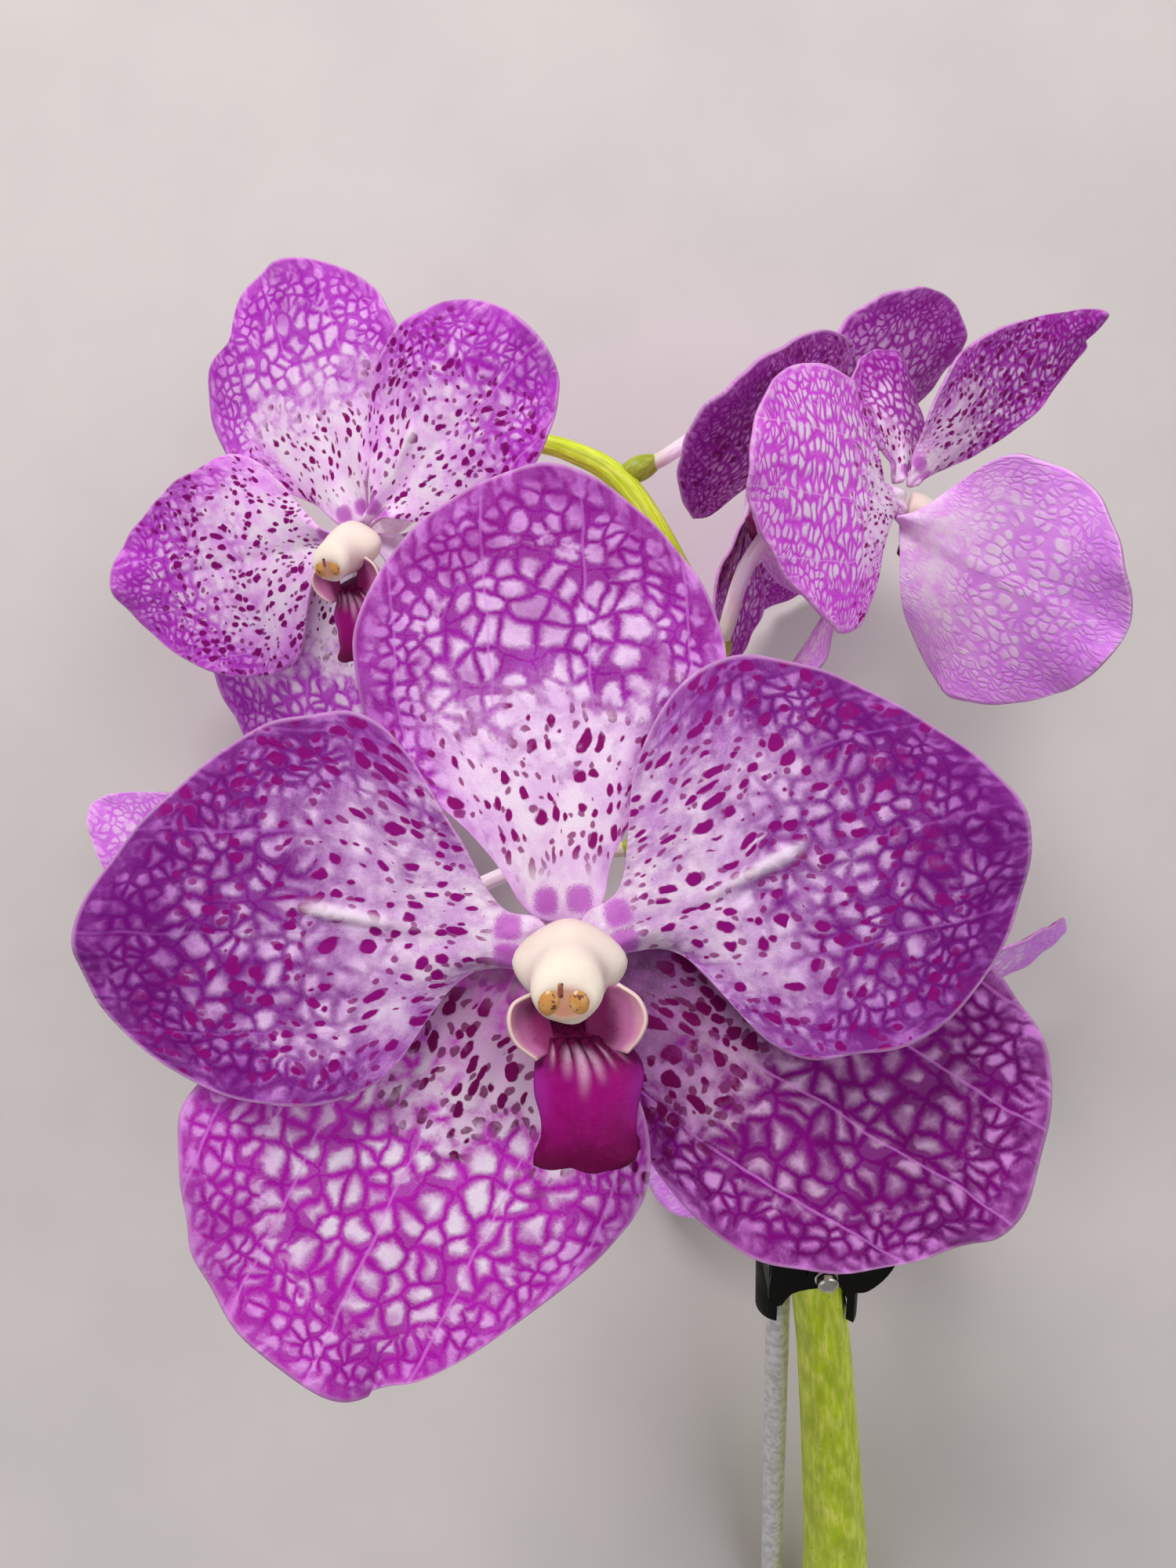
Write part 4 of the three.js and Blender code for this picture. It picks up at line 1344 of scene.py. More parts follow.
def between_rings(rings: Sequence[Ring], share: float) -> Ring:
    """The smooth section at a share of the way through rings."""
    at = share * (len(rings) - 1)
    i = min(int(at), len(rings) - 2)
    u = at - i
    four = [rings[min(max(i + k, 0), len(rings) - 1)] for k in (-1, 0, 1, 2)]

    def blend(name: str) -> float:
        """The smooth value of one of the sections' measures."""
        a, b, c, d = (getattr(ring, name) for ring in four)
        return 0.5 * (
            2 * b
            + (c - a) * u
            + (2 * a - 5 * b + 4 * c - d) * u * u
            + (3 * b - a - 3 * c + d) * u**3
        )

    return Ring(*(blend(name) for name in ("x", "y", "z", "across", "high")))


@dataclass(frozen=True)
class Column:
    """The cream column with its anther cap, pollen sacs and notch."""

    rings: tuple[Ring, ...] = (
        Ring(0.2, -1.1, 2.75, 4.3, 3.4),
        Ring(0.4, -1.1, 3.6, 5.3, 3.7),
        Ring(0.5, -1.4, 5, 5.5, 3.9),
        Ring(0.45, -1.9, 6.6, 4.9, 3.9),
        Ring(0.4, -2.3, 8.2, 3.9, 3.6),
        Ring(0.35, -2.7, 10, 3.55, 3.4),
        Ring(0.35, -3.1, 11.5, 3.5, 3.1),
        Ring(0.3, -3.5, 12.3, 3.2, 2.6),
        Ring(0.3, -3.8, 12.8, 2.5, 1.9),
        Ring(0.3, -3.9, 12.9, 1.1, 0.8),
    )
    sides: int = 36
    steps: int = 44
    face_at: tuple[float, float] = (0.15, -4.3)
    face_half: tuple[float, float] = (2.7, 1.7)
    sac_size: Triple = (1.2, 1.4, 0.85)
    sac_at: Triple = (0.1, -4.15, 12.35)
    sac_apart: float = 1.35
    sac_turn: float = 12
    notch_size: Triple = (0.5, 1.4, 0.5)
    notch_at: Triple = (-0.25, -3.05, 12.75)
    notch_edge: float = 0.12

    def body(self, place: Matrix) -> bmesh.types.BMesh:
        """Makes the column itself."""

        def spot(angle: float, share: float) -> Vector:
            """A point of its skin."""
            ring = between_rings(self.rings, share)
            shoulder = 0.35 * bell(share, 0.28, 0.1) * abs(math.cos(angle)) ** 3
            chin = 0.3 * bell(share, 0.72, 0.07) * (0.6 + 0.4 * math.cos(5 * angle))
            pinch = 1 - 0.34 * max(math.sin(angle), 0) ** 1.5 * (1 - smoothstep(share, 0.3, 0.6))
            return Vector(
                (
                    ring.x + (ring.across + shoulder) * pinch * math.cos(angle),
                    ring.y + (ring.high + chin * max(-math.sin(angle), 0)) * math.sin(angle),
                    ring.z,
                )
            )

        made = shaped_tube(self.sides, self.steps, spot)
        share, face = made.verts.layers.float.new("share"), made.verts.layers.float.new("face")
        low, high = self.rings[0].z, self.rings[-1].z
        (x, y), (half_x, half_y) = self.face_at, self.face_half
        for vert in made.verts:
            vert[share] = (vert.co.z - low) / (high - low)
            off = math.hypot((vert.co.x - x) / half_x, (vert.co.y - y) / half_y)
            vert[face] = smoothstep(vert.co.z, 10.0, 11.6) * (1 - smoothstep(off, 0.55, 1.2))
        bmesh.ops.transform(made, matrix=place, verts=made.verts)
        return made

    def sacs(self, place: Matrix) -> bmesh.types.BMesh:
        """Makes the two pollen sacs."""
        made = bmesh.new()
        x, y, z = self.sac_at
        for side in (-1, 1):
            sac = bmesh.ops.create_icosphere(made, subdivisions=4, radius=1.0)["verts"]
            turn = Matrix.Rotation(math.radians(side * self.sac_turn), 3, "Z")
            bmesh.ops.scale(made, vec=self.sac_size, verts=sac)
            bmesh.ops.rotate(made, matrix=turn, verts=sac)
            bmesh.ops.translate(made, vec=(x + side * self.sac_apart, y, z), verts=sac)
        bmesh.ops.transform(made, matrix=place, verts=made.verts)
        return made

    def notch(self, place: Matrix) -> bmesh.types.BMesh:
        """Makes the small red-brown notch over the sacs."""
        made = bmesh.new()
        bmesh.ops.create_cube(made, size=1.0)
        bmesh.ops.scale(made, vec=self.notch_size, verts=made.verts)
        bmesh.ops.bevel(
            made,
            geom=made.edges,
            offset=self.notch_edge,
            segments=3,
            profile=0.5,
            affect="EDGES",
            material=-1,
        )
        bmesh.ops.translate(made, vec=self.notch_at, verts=made.verts)
        bmesh.ops.transform(made, matrix=place, verts=made.verts)
        return made


@dataclass(frozen=True)
class SideLobe:
    """A cupped flap beside the throat, from its root in the throat to its outer rim."""

    root: Route
    rim: Route
    side: int

    def point(self, x: float, y: float) -> Vector:
        """The point of its middle surface for (x, y) from -1 to 1, with x = 1 at the rim."""
        out, up = (x + 1) / 2, (y + 1) / 2
        low = self.root.raw(up * (len(self.root.points) - 1))
        high = self.rim.raw(up * (len(self.rim.points) - 1))
        cup = math.sin(math.pi * out) * math.sin(math.pi * (0.15 + 0.7 * up))
        return low.lerp(high, out) + Vector((self.side * 0.5 * cup, 0, -0.9 * cup))


@dataclass(frozen=True)
class Streak:
    """A pale streak down the lip: its start and end across it, its half-width and its length."""

    start: float
    end: float
    width: float
    length: float

    def at(self, x: float, share: float) -> float:
        """How much of the streak there is at a point, from 0 to 1."""
        along = min(share / self.length, 1.0)
        middle = self.start + (self.end - self.start) * along**1.5
        width = self.width * (0.4 + 0.6 * min(along * 2, 1.0))
        going = 1 - smoothstep(share, self.length * 0.25, self.length)
        return bell(x, middle, width) * (smoothstep(share, 0.04, 0.13) * going)


@dataclass(frozen=True)
class Lip:
    """The lip: a throat, two side lobes, and a ridged midlobe with a squared end."""

    midlobe: tuple[Ring, ...] = (
        Ring(1.0, -8.5, 8.4, 3.2, 0),
        Ring(1.9, -10.0, 9.0, 4.5, 0),
        Ring(2.4, -11.8, 9.6, 5.1, 0),
        Ring(2.4, -13.6, 9.9, 4.9, 0),
        Ring(2.35, -15.6, 10.2, 4.45, 0),
        Ring(2.25, -17.6, 10.5, 4.4, 0),
        Ring(2.1, -19.4, 10.6, 4.75, 0),
        Ring(2.0, -20.5, 10.5, 4.6, 0),
    )
    throat: tuple[Ring, ...] = (
        Ring(0, -7.9, 3.0, 1.4, 1.2),
        Ring(0.3, -8.4, 4.6, 2.8, 1.6),
        Ring(0.8, -9.0, 6.6, 4.3, 1.8),
        Ring(1.1, -9.3, 7.8, 4.3, 1.6),
        Ring(1.2, -9.4, 8.3, 3.6, 1.2),
    )
    lobes: tuple[SideLobe, ...] = (
        SideLobe(
            Route.through((-0.6, -9.7, 8.7), (-1.2, -7.6, 7.8), (-2.0, -5.2, 7.4)),
            Route.through(
                (-2.6, -10.4, 9.4),
                (-4.7, -8.5, 9.9),
                (-5.3, -6.5, 10.0),
                (-4.9, -5.0, 9.6),
                (-3.2, -4.1, 9.0),
            ),
            -1,
        ),
        SideLobe(
            Route.through((2.4, -9.4, 8.6), (2.0, -7.2, 7.6), (2.6, -4.4, 7.2)),
            Route.through(
                (6.1, -9.7, 9.4),
                (7.4, -7.9, 10.0),
                (7.9, -6.2, 10.1),
                (7.2, -4.4, 9.8),
                (5.2, -3.1, 9.0),
            ),
            1,
        ),
    )
    streaks: tuple[Streak, ...] = (
        Streak(-0.08, -0.1, 0.08, 0.5),
        Streak(-0.34, -0.42, 0.06, 0.34),
        Streak(0.18, 0.26, 0.06, 0.38),
        Streak(0.42, 0.52, 0.045, 0.28),
        Streak(-0.6, -0.68, 0.045, 0.28),
        Streak(0.66, 0.8, 0.04, 0.24),
        Streak(-0.8, -0.88, 0.04, 0.22),
    )
    ridges: tuple[float, ...] = (-0.42, -0.1, 0.24)
    ridge_half: float = 0.1
    throat_share: float = 0.05
    throat_cells: tuple[int, int] = (28, 14)

    def _ridge(self, x: float) -> float:
        """How much of a keel there is at x, from 0 to 1."""
        return max(bell(x, at, self.ridge_half) for at in self.ridges)

    def _end(self, x: float, share: float) -> float:
        """How far the squared end's crinkles reach, in millimetres."""
        crinkle = 0.2 * math.sin(5 * x) + 0.1 * math.sin(9 * x + 1) - 0.5 * x * x
        return smoothstep(share, 0.8, 1.0) * crinkle

    def mid(self, place: Matrix, cells: int) -> bmesh.types.BMesh:
        """Makes the midlobe's middle surface.

        Args:
            place: The bloom's frame.
            cells: How many cells it has each way.

        Returns:
            The surface, with the numbers share, streak and side.
        """

        def spot(x: float, y: float) -> Vector:
            """A point of its middle surface."""
            share = (y + 1) / 2
            ring = between_rings(self.midlobe, share)
            keels = self._ridge(x) * (0.42 * (1 - smoothstep(share, 0.1, 0.5)) + 0.08)
            rolled = 1.0 + 0.8 * smoothstep(share, 0.6, 0.1)
            edge = -rolled * abs(x) ** 4 + 0.2 * math.sin(7 * share * math.pi) * abs(x) ** 6
            return Vector(
                (
                    ring.x + x * ring.across + 0.15 * math.sin(11 * share) * abs(x) ** 4,
                    ring.y - self._end(x, share),
                    ring.z + keels + edge,
                )
            )

        made, (share, streak, side) = marked_grid(cells, "share", "streak", "side")
        for vert in made.verts:
            x, along = vert.co.x, (vert.co.y + 1) / 2
            vert[share] = along
            vert[streak] = max(mark.at(x, along) for mark in self.streaks)
            vert[side] = abs(x)
            vert.co = spot(x, vert.co.y)
        bmesh.ops.reverse_faces(made, faces=made.faces)
        bmesh.ops.transform(made, matrix=place, verts=made.verts)
        return made

    def side(self, lobe: SideLobe, place: Matrix, cells: int) -> bmesh.types.BMesh:
        """Makes one side lobe's middle surface.

        Args:
            lobe: The lobe.
            place: The bloom's frame.
            cells: How many cells it has each way.

        Returns:
            The surface, with the number share, which is 0 at the outer rim and 1 in the throat.
        """
        made, (share,) = marked_grid(cells, "share")
        for vert in made.verts:
            vert[share] = (1 - vert.co.x) / 2
            vert.co = lobe.point(vert.co.x, vert.co.y)
        if lobe.side < 0:
            bmesh.ops.reverse_faces(made, faces=made.faces)
        bmesh.ops.transform(made, matrix=place, verts=made.verts)
        return made

    def bowl(self, place: Matrix) -> bmesh.types.BMesh:
        """Makes the throat's closed form."""

        def spot(angle: float, share: float) -> Vector:
            """A point of its skin."""
            ring = between_rings(self.throat, share)
            x = ring.x + ring.across * math.cos(angle)
            return Vector((x, ring.y + ring.high * math.sin(angle), ring.z))

        made = shaped_tube(*self.throat_cells, spot)
        share = made.verts.layers.float.new("share")
        for vert in made.verts:
            vert[share] = self.throat_share
        bmesh.ops.transform(made, matrix=place, verts=made.verts)
        return made


# ---- Blooms ----

COLUMN = Column()
LIP = Lip()
PEDICEL_RADIUS = 1.3
OVARY_RADIUS = 2.0
HEAD_RADIUS = 3.1
HEAD_BELOW = 1.8
BRACT_LENGTH = 3.2
BRACT_RADIUS = 2.5
BRACT_OUT = 3.4
PEDICEL_GAP = 0.3
PEDICEL_SUNK = 2.2
PEDICEL_RISE = 0.2
PEDICEL_CELLS = (30, 60)
BRACT_CELLS = (24, 20)
NECK_BELOW = 5
MIDLOBE_WALL = 0.7
LOBE_WALL = 0.36
TEPAL_SEED = 1.7
BLOOM_SEED = 11.3
FIRST_SEED = 0.37


@dataclass(frozen=True)
class Finishes:
    """The built materials that the blooms share."""

    faces: dict[tuple[Looks, Net], bpy.types.Material]
    backs: dict[Looks, bpy.types.Material]
    column: bpy.types.Material
    anther: bpy.types.Material
    notch: bpy.types.Material
    lip: bpy.types.Material
    lobe: bpy.types.Material
    pedicel: bpy.types.Material
    bract: bpy.types.Material


@dataclass(frozen=True)
class Bloom:
    """One bloom: where it is, how it faces, its pedicel, and its tepals in the order of Seat."""

    name: str
    hub: Triple
    facing: Triple
    up: Triple
    scale: float
    node: Triple
    pedicel: tuple[Triple, ...]
    tepals: tuple[Tepal, ...]
    looks: Looks
    cells: int

    def place(self) -> Matrix:
        """The bloom's frame: x to its right, y to its top and z out of its face."""
        facing = Vector(self.facing).normalized()
        up = Vector(self.up)
        up = (up - facing * up.dot(facing)).normalized()
        right = up.cross(facing)
        turn = Matrix((right, up, facing)).transposed().to_4x4()
        return Matrix.Translation(Vector(self.hub)) @ turn @ Matrix.Scale(self.scale, 4)

    def leaving(self) -> tuple[Vector, Vector]:
        """The direction in which the pedicel leaves the stem, and where its bract ends."""
        direction = (Vector(self.pedicel[0]) - Vector(self.node)).normalized()
        return direction, Vector(self.node) + direction * (BRACT_OUT + BRACT_LENGTH + PEDICEL_GAP)

    def add_tepals(self, finishes: Finishes, seed: float) -> None:
        """Builds and dresses the five tepals.

        Args:
            finishes: The materials.
            seed: Where this bloom's nets start.
        """
        place = self.place()
        for count, (seat, tepal) in enumerate(zip(Seat, self.tepals, strict=True)):
            node = f"{self.name}_{seat.label}"
            blade = tepal.build(place, seat.layer, self.cells, seed + TEPAL_SEED * count)
            face = finishes.faces[self.looks, tepal.net or seat.net]
            skins = [face, finishes.backs[self.looks]]
            piece = stand(blade, f"{node}_blade", skins, [node])
            thicken(piece, BLADE)
            LOG.info("built %s", piece.name)

    def add_centre(self, finishes: Finishes) -> None:
        """Builds and dresses the column, the anther and the lip."""
        place = self.place()
        cells = self.cells // 2
        node = f"{self.name}_column"
        stand(COLUMN.body(place), f"{node}_body", [finishes.column], [node])
        stand(COLUMN.sacs(place), f"{node}_sacs", [finishes.anther], ())
        stand(COLUMN.notch(place), f"{node}_notch", [finishes.notch], ())
        node = f"{self.name}_lip"
        mid = stand(LIP.mid(place, cells), f"{node}_midlobe", [finishes.lip], [node])
        thicken(mid, MIDLOBE_WALL * self.scale, has_back=False)
        stand(LIP.bowl(place), f"{node}_throat", [finishes.lip], ())
        for lobe, side in zip(LIP.lobes, ("left", "right"), strict=True):
            made = LIP.side(lobe, place, cells // 2)
            flap = stand(made, f"{node}_lobe_{side}", [finishes.lobe], ())
            thicken(flap, LOBE_WALL * self.scale, has_back=False)
        LOG.info("built the centre of %s", self.name)

    def add_pedicel(self, finishes: Finishes) -> None:
        """Builds and dresses the pedicel and its bract."""
        facing = Vector(self.facing).normalized()
        head = Vector(self.hub) - facing * (HEAD_BELOW * self.scale)
        neck = head - facing * (NECK_BELOW * self.scale)
        direction, start = self.leaving()
        reach = BRACT_OUT + BRACT_LENGTH + 2
        middle = [Vector(p) for p in self.pedicel if (Vector(p) - Vector(self.node)).length > reach]
        sunk, risen = start - direction * PEDICEL_SUNK, start + direction * PEDICEL_RISE
        route = Route((sunk, risen, *middle, neck, head))
        size = self.scale**0.5

        def radius(angle: float, share: float, _: float) -> float:
            """The pedicel's radius, with the ribs of its ovary."""
            body = PEDICEL_RADIUS + (OVARY_RADIUS - PEDICEL_RADIUS) * smoothstep(share, 0.3, 0.8)
            ribs = 1 + 0.07 * smoothstep(share, 0.25, 0.6) * math.cos(6 * angle + 5 * share)
            flare = (HEAD_RADIUS * self.scale - body * size) * smoothstep(share, 0.93, 1.0)
            return (body * size + flare) * ribs * (0.9 if share < 0.02 else 1)

        made = tube_along(route, *PEDICEL_CELLS, radius)
        node = f"{self.name}_pedicel"
        stand(made, f"{node}_stalk", [finishes.pedicel], [node])
        tip = Vector(self.node) + direction * (BRACT_OUT + BRACT_LENGTH)
        root = Vector(self.node) + direction * (BRACT_OUT - BRACT_LENGTH)
        sheath = Route((root, root.lerp(tip, 0.5), tip))

        def bulge(angle: float, share: float, _: float) -> float:
            """The bract's radius."""
            profile = math.sin(math.pi * (0.12 + 0.76 * share)) ** 0.8
            lobed = 1 + 0.12 * smoothstep(share, 0.6, 1.0) * math.cos(2 * angle)
            return BRACT_RADIUS * self.scale * profile * lobed * 0.98

        made = tube_along(sheath, *BRACT_CELLS, bulge)
        stand(made, f"{self.name}_bract", [finishes.bract], ())
        LOG.info("built the pedicel of %s", self.name)


def bloom_set() -> list[Bloom]:
    """The six blooms, from the open one in front to the two that face the ground."""
    return [
        Bloom(
            "front",
            (-2.3, -16.1, 100),
            (0, 0, 1),
            (0, 1, 0),
            1,
            (21, -36, 54.5),
            ((15.5, -33, 64), (6, -24, 78), (-1.5, -17, 90)),
            (
                Tepal(Shape.DORSAL, -4, 0, -6, -3, (0.7, 5, 0.4)),
                Tepal(
                    Shape.PETAL_LEFT, 270, 4, -8, -1, (1, 4, 1), keel=Keel((0.65, 8.4), (3.5, 25.9))
                ),
                Tepal(
                    Shape.PETAL_RIGHT,
                    76,
                    3,
                    -8,
                    -2,
                    (1, 4, 2),
                    keel=Keel((0.67, 7.4), (-4.1, 24.9)),
                ),
                Tepal(Shape.SEPAL_LEFT, 206, -4.6, -8, 1, (1.1, 6, 0.5), fan=0.3),
                # The right sepal wears a copy of the sepal net darkened as painted shade.
                Tepal(Shape.SEPAL_RIGHT, 123, -8, -6, 2, (0.9, 5, 1.5), net=Net.DUSK, fan=0.3),
            ),
            looks=Looks.OPEN,
            cells=104,
        ),
        Bloom(
            "upper_left",
            (-33.8, 37.5, 46),
            (-0.34, -0.32, 0.88),
            (0, 1, 0),
            0.86,
            (-9.5, 54, 38),
            ((-17, 53, 34), (-27, 45, 33)),
            (
                Tepal(Shape.BROAD_DORSAL, -15, -3, -6, -3, (0.8, 6, 0), notch=(-38, 0.16, 11)),
                Tepal(Shape.LONG_PETAL, 263, 1, -4, -1, (1.2, 5, 1)),
                Tepal(Shape.SLIM_PETAL, 53, 1, -6, -1, (1, 5, 2), keel=Keel((-1, 9), (-5, 20))),
                Tepal(Shape.SEPAL_LEFT, 202, -5, -6, 1, (1, 6, 0.5)),
                Tepal(Shape.SLIM_SEPAL, 121, -8, -6, 1, (0.9, 5, 1.5)),
            ),
            looks=Looks.PALE,
            cells=64,
        ),
        Bloom(
            "right_near",
            (44.2, 40.8, 52),
            (0.94, -0.25, 0.1),
            (0.26, 0.96, 0),
            0.79,
            (17.8, 17.2, 50),
            ((19.4, 21.5, 54.5), (22.5, 31, 58), (31.5, 40.5, 56.5)),
            (
                Tepal(Shape.SMALL_DORSAL, 12, -12, -8, -2, (0.6, 5, 0.4), twist=-50, start=4),
                Tepal(
                    Shape.PETAL_RIGHT,
                    257,
                    -25,
                    -22,
                    -2,
                    (0.9, 4, 1),
                    twist=18,
                    start=3,
                    net=Net.BRIGHT,
                ),
                # This tepal wears a copy of the sepal net lightened as painted light.
                Tepal(
                    Shape.TALL_PETAL,
                    18,
                    32,
                    0,
                    -1,
                    (0.9, 4, 2),
                    twist=-38,
                    start=4,
                    notch=(20, 0.12, 12),
                ),
                Tepal(Shape.ROUND_SEPAL, 233, 50, 4, 2, (1.1, 6, 0.5), start=7.6),
                Tepal(Shape.SLIM_SEPAL, 160, -16, 0, 2, (0.9, 5, 1.5), start=3),
            ),
            looks=Looks.DEEP,
            cells=56,
        ),
        Bloom(
            "right_far",
            (28, 48, 38),
            (0.69, -0.7, 0.1),
            (0.72, 0.69, 0),
            0.79,
            (4.5, 46.2, 44.5),
            ((11, 49, 44.5), (18, 53.5, 42), (23.5, 53, 39)),
            (
                Tepal(Shape.DORSAL, 3, 7, 0, -3, (0.8, 5, 0.4), twist=-22),
                Tepal(Shape.PETAL_LEFT, 259, 4, -26, -2, (0.9, 4, 1), start=3),
                Tepal(Shape.PETAL_RIGHT, 90, 8, 20, -2, (0.9, 4, 2), start=3),
                Tepal(Shape.YOUNG_SEPAL, 234, 67, 4, 1, (0.8, 6, 0.5), start=9),
                Tepal(Shape.SLIM_SEPAL, 142, 26, 8, 2, (0.9, 5, 1.5), start=4),
            ),
            looks=Looks.DEEP,
            cells=48,
        ),
        Bloom(
            "left_low",
            (-49, -27, 20),
            (-0.3, 0.05, -0.95),
            (0.39, 0.92, 0),
            0.79,
            (11.3, -9, 53),
            ((1, -9.6, 53), (-10, -12.4, 50), (-26, -20, 42), (-40, -26, 33)),
            (
                Tepal(Shape.SMALL_DORSAL, 0, 5, -4, -2, (0.8, 5, 0.4)),
                Tepal(Shape.WEDGE_PETAL, 280, 4, 8, -1, (0.9, 4, 1), start=3),
                Tepal(Shape.WEDGE_PETAL, 78, 9, 8, -1, (0.9, 4, 2), start=3),
                Tepal(Shape.PLAIN_SEPAL, 216, 14, 44, 1, (1.1, 6, 0.5)),
                Tepal(Shape.SLIM_SEPAL, 144, 8, 60, 1, (0.9, 5, 1.5)),
            ),
            looks=Looks.PALE,
            cells=44,
        ),
        Bloom(
            "right_low",
            (44, -45, 20),
            (0.27, -0.1, -0.95),
            (0.55, -0.83, 0),
            0.79,
            (30.4, -56, 58.8),
            ((38, -56, 55), (45, -51, 42)),
            (
                Tepal(Shape.SMALL_DORSAL, 0, 2, -6, -2, (0.8, 5, 0.4)),
                Tepal(Shape.LONG_PETAL, 278, 2, 8, -1, (0.9, 4, 2), start=3),
                Tepal(Shape.WEDGE_PETAL, 88, 4, 0, -1, (0.9, 4, 1), twist=72, start=3),
                Tepal(Shape.SLIM_SEPAL, 215, 14, 54, 1, (1.1, 6, 0.5)),
                Tepal(Shape.PLAIN_SEPAL, 149, 14, 50, 1, (0.9, 5, 1.5)),
            ),
            looks=Looks.DEEP,
            cells=44,
        ),
    ]


# ---- Stem ----


@dataclass(frozen=True)
class Stem:
    """The flower stem, from its cut end to its tip: points on its middle with the radius there."""

    points: tuple[tuple[float, float, float, float], ...] = (
        (44.3, -158, 5.3, 6),
        (43, -137, 16.8, 5.5),
        (39.8, -112, 30, 4.8),
        (35.4, -84, 45, 4),
        (31.7, -64.8, 55.3, 3.7),
        (30.4, -56, 58.8, 3.6),
        (26.4, -46, 57.6, 3.4),
        (21, -36, 54.5, 3.3),
        (15.5, -24, 53.5, 3),
        (11.3, -9, 53, 2.8),
        (14.2, 4, 51.5, 2.6),
        (17.8, 17.2, 50, 2.5),
        (12.5, 33, 47, 2.2),
        (4.5, 46.2, 44.5, 1.9),
        (-3.5, 51.5, 41, 1.6),
        (-9.5, 54, 38, 1.5),
        (-13.5, 57.5, 36, 1),
    )
    sides: int = 44
    steps: int = 260

    def build(self, finish: bpy.types.Material) -> None:
        """Builds and dresses the stem.

        Args:
            finish: Its material.
        """
        route = Route(tuple(Vector(p[:3]) for p in self.points))
        radii = [p[3] for p in self.points]

        def radius(angle: float, share: float, at: float) -> float:
            """The stem's ribbed radius."""
            i = min(int(at), len(radii) - 2)
            plain = radii[i] + (radii[i + 1] - radii[i]) * (at - i)
            ribs = 0.022 * math.cos(9 * angle + 14 * share)
            ribs += 0.014 * math.cos(14 * angle - 9 * share)
            ends = 0.9 if share in (0.0, 1.0) else 1.0
            return plain * (0.985 + ribs) * ends

        made = tube_along(route, self.sides, self.steps, radius)
        stand(made, "flower_stem_stalk", [finish], ["flower_stem"])
        LOG.info("built the stem")


# ---- Clip and stake ----


@dataclass(frozen=True)
class Clip:
    """The spring clip and the stake, in a frame with y along the stem and z out of the top.

    Each of the stake's rounded ends takes one part in stake_ends of its length.
    """

    at: Triple = (32, -65.4, 55)
    along: Triple = (-0.06, 0.88, 0.474)
    stake_at: tuple[float, float] = (-4, -4.2)
    stake_radius: float = 1.85
    stake_span: tuple[float, float] = (-103, 4.6)
    stake_body: float = 0.985
    stake_tip: float = 0.8
    stake_ends: float = 40
    stake_cells: tuple[int, int] = (32, 120)
    dome_at: Triple = (0.3, 1.8, 8.3)
    dome_radius: float = 1.42
    dome_flat: float = 0.35
    edge: float = 0.22
    sharp: float = 40
    jaws: tuple[str, ...] = ("clip_fixed_jaw", "clip_moving_jaw")
    metal: tuple[str, ...] = ("clip_pin", "clip_spring")

    def frame(self) -> Matrix:
        """The clip's own frame."""
        along = Vector(self.along).normalized()
        right = along.cross(Vector((0, 0, 1))).normalized()
        turn = Matrix((right, along, right.cross(along))).transposed().to_4x4()
        return Matrix.Translation(Vector(self.at)) @ turn

    def stake(self, finish: bpy.types.Material) -> None:
        """Builds and dresses the stake."""
        low, high = self.stake_span

        def spot(angle: float, share: float) -> Vector:
            """A point of its skin, drawn in at its rounded ends."""
            end = min(share, 1 - share) * self.stake_ends
            rise = (self.stake_body - self.stake_tip) * math.sqrt(max(end, 0))
            rounded = self.stake_tip + rise
            radius = self.stake_radius * (self.stake_body if end > 1 else rounded)
            x, z = self.stake_at
            y = low + (high - low) * share
            return Vector((x + radius * math.cos(angle), y, z + radius * math.sin(angle)))

        made = shaped_tube(*self.stake_cells, spot)
        bmesh.ops.transform(made, matrix=self.frame(), verts=made.verts)
        stand(made, "stake_rod", [finish], ["stake"])
        LOG.info("built the stake")

    def dress(
        self,
        nodes: dict[str, bpy.types.Object],
        plastic: bpy.types.Material,
        steel: bpy.types.Material,
    ) -> None:
        """Dresses the jaws, pin and spring of the frame.

        Args:
            nodes: The frame's own objects.
            plastic: The jaws' material.
            steel: The pin's and the spring's material.
        """
        for name in self.jaws:
            jaw = nodes[name]
            jaw.data.materials.clear()
            jaw.data.materials.append(plastic)
            weld = jaw.modifiers.new("Weld", "WELD")
            weld.merge_threshold = 1e-6
            edge = jaw.modifiers.new("Edge", "BEVEL")
            edge.width = self.edge * MM
            edge.segments = 3
            edge.limit_method = "ANGLE"
            edge.angle_limit = math.radians(self.sharp)
        for name in self.metal:
            nodes[name].data.materials.clear()
            nodes[name].data.materials.append(steel)
        LOG.info("dressed the clip")

    def rivet(self, steel: bpy.types.Material) -> None:
        """Builds the domed head of the pin."""
        made = bmesh.new()
        bmesh.ops.create_uvsphere(made, u_segments=32, v_segments=16, radius=self.dome_radius)
        bmesh.ops.scale(made, vec=(1, 1, self.dome_flat), verts=made.verts)
        bmesh.ops.translate(made, vec=self.dome_at, verts=made.verts)
        bmesh.ops.transform(made, matrix=self.frame(), verts=made.verts)
        stand(made, "clip_pin_dome", [steel], ())
        LOG.info("built the rivet's dome")


# ---- The stage ----


@dataclass(frozen=True)
class Lamp:
    """A soft square light: where it is and its side in metres, its power in watts, its colour."""

    name: str
    at: Triple
    size: float
    power: float
    tint: Triple


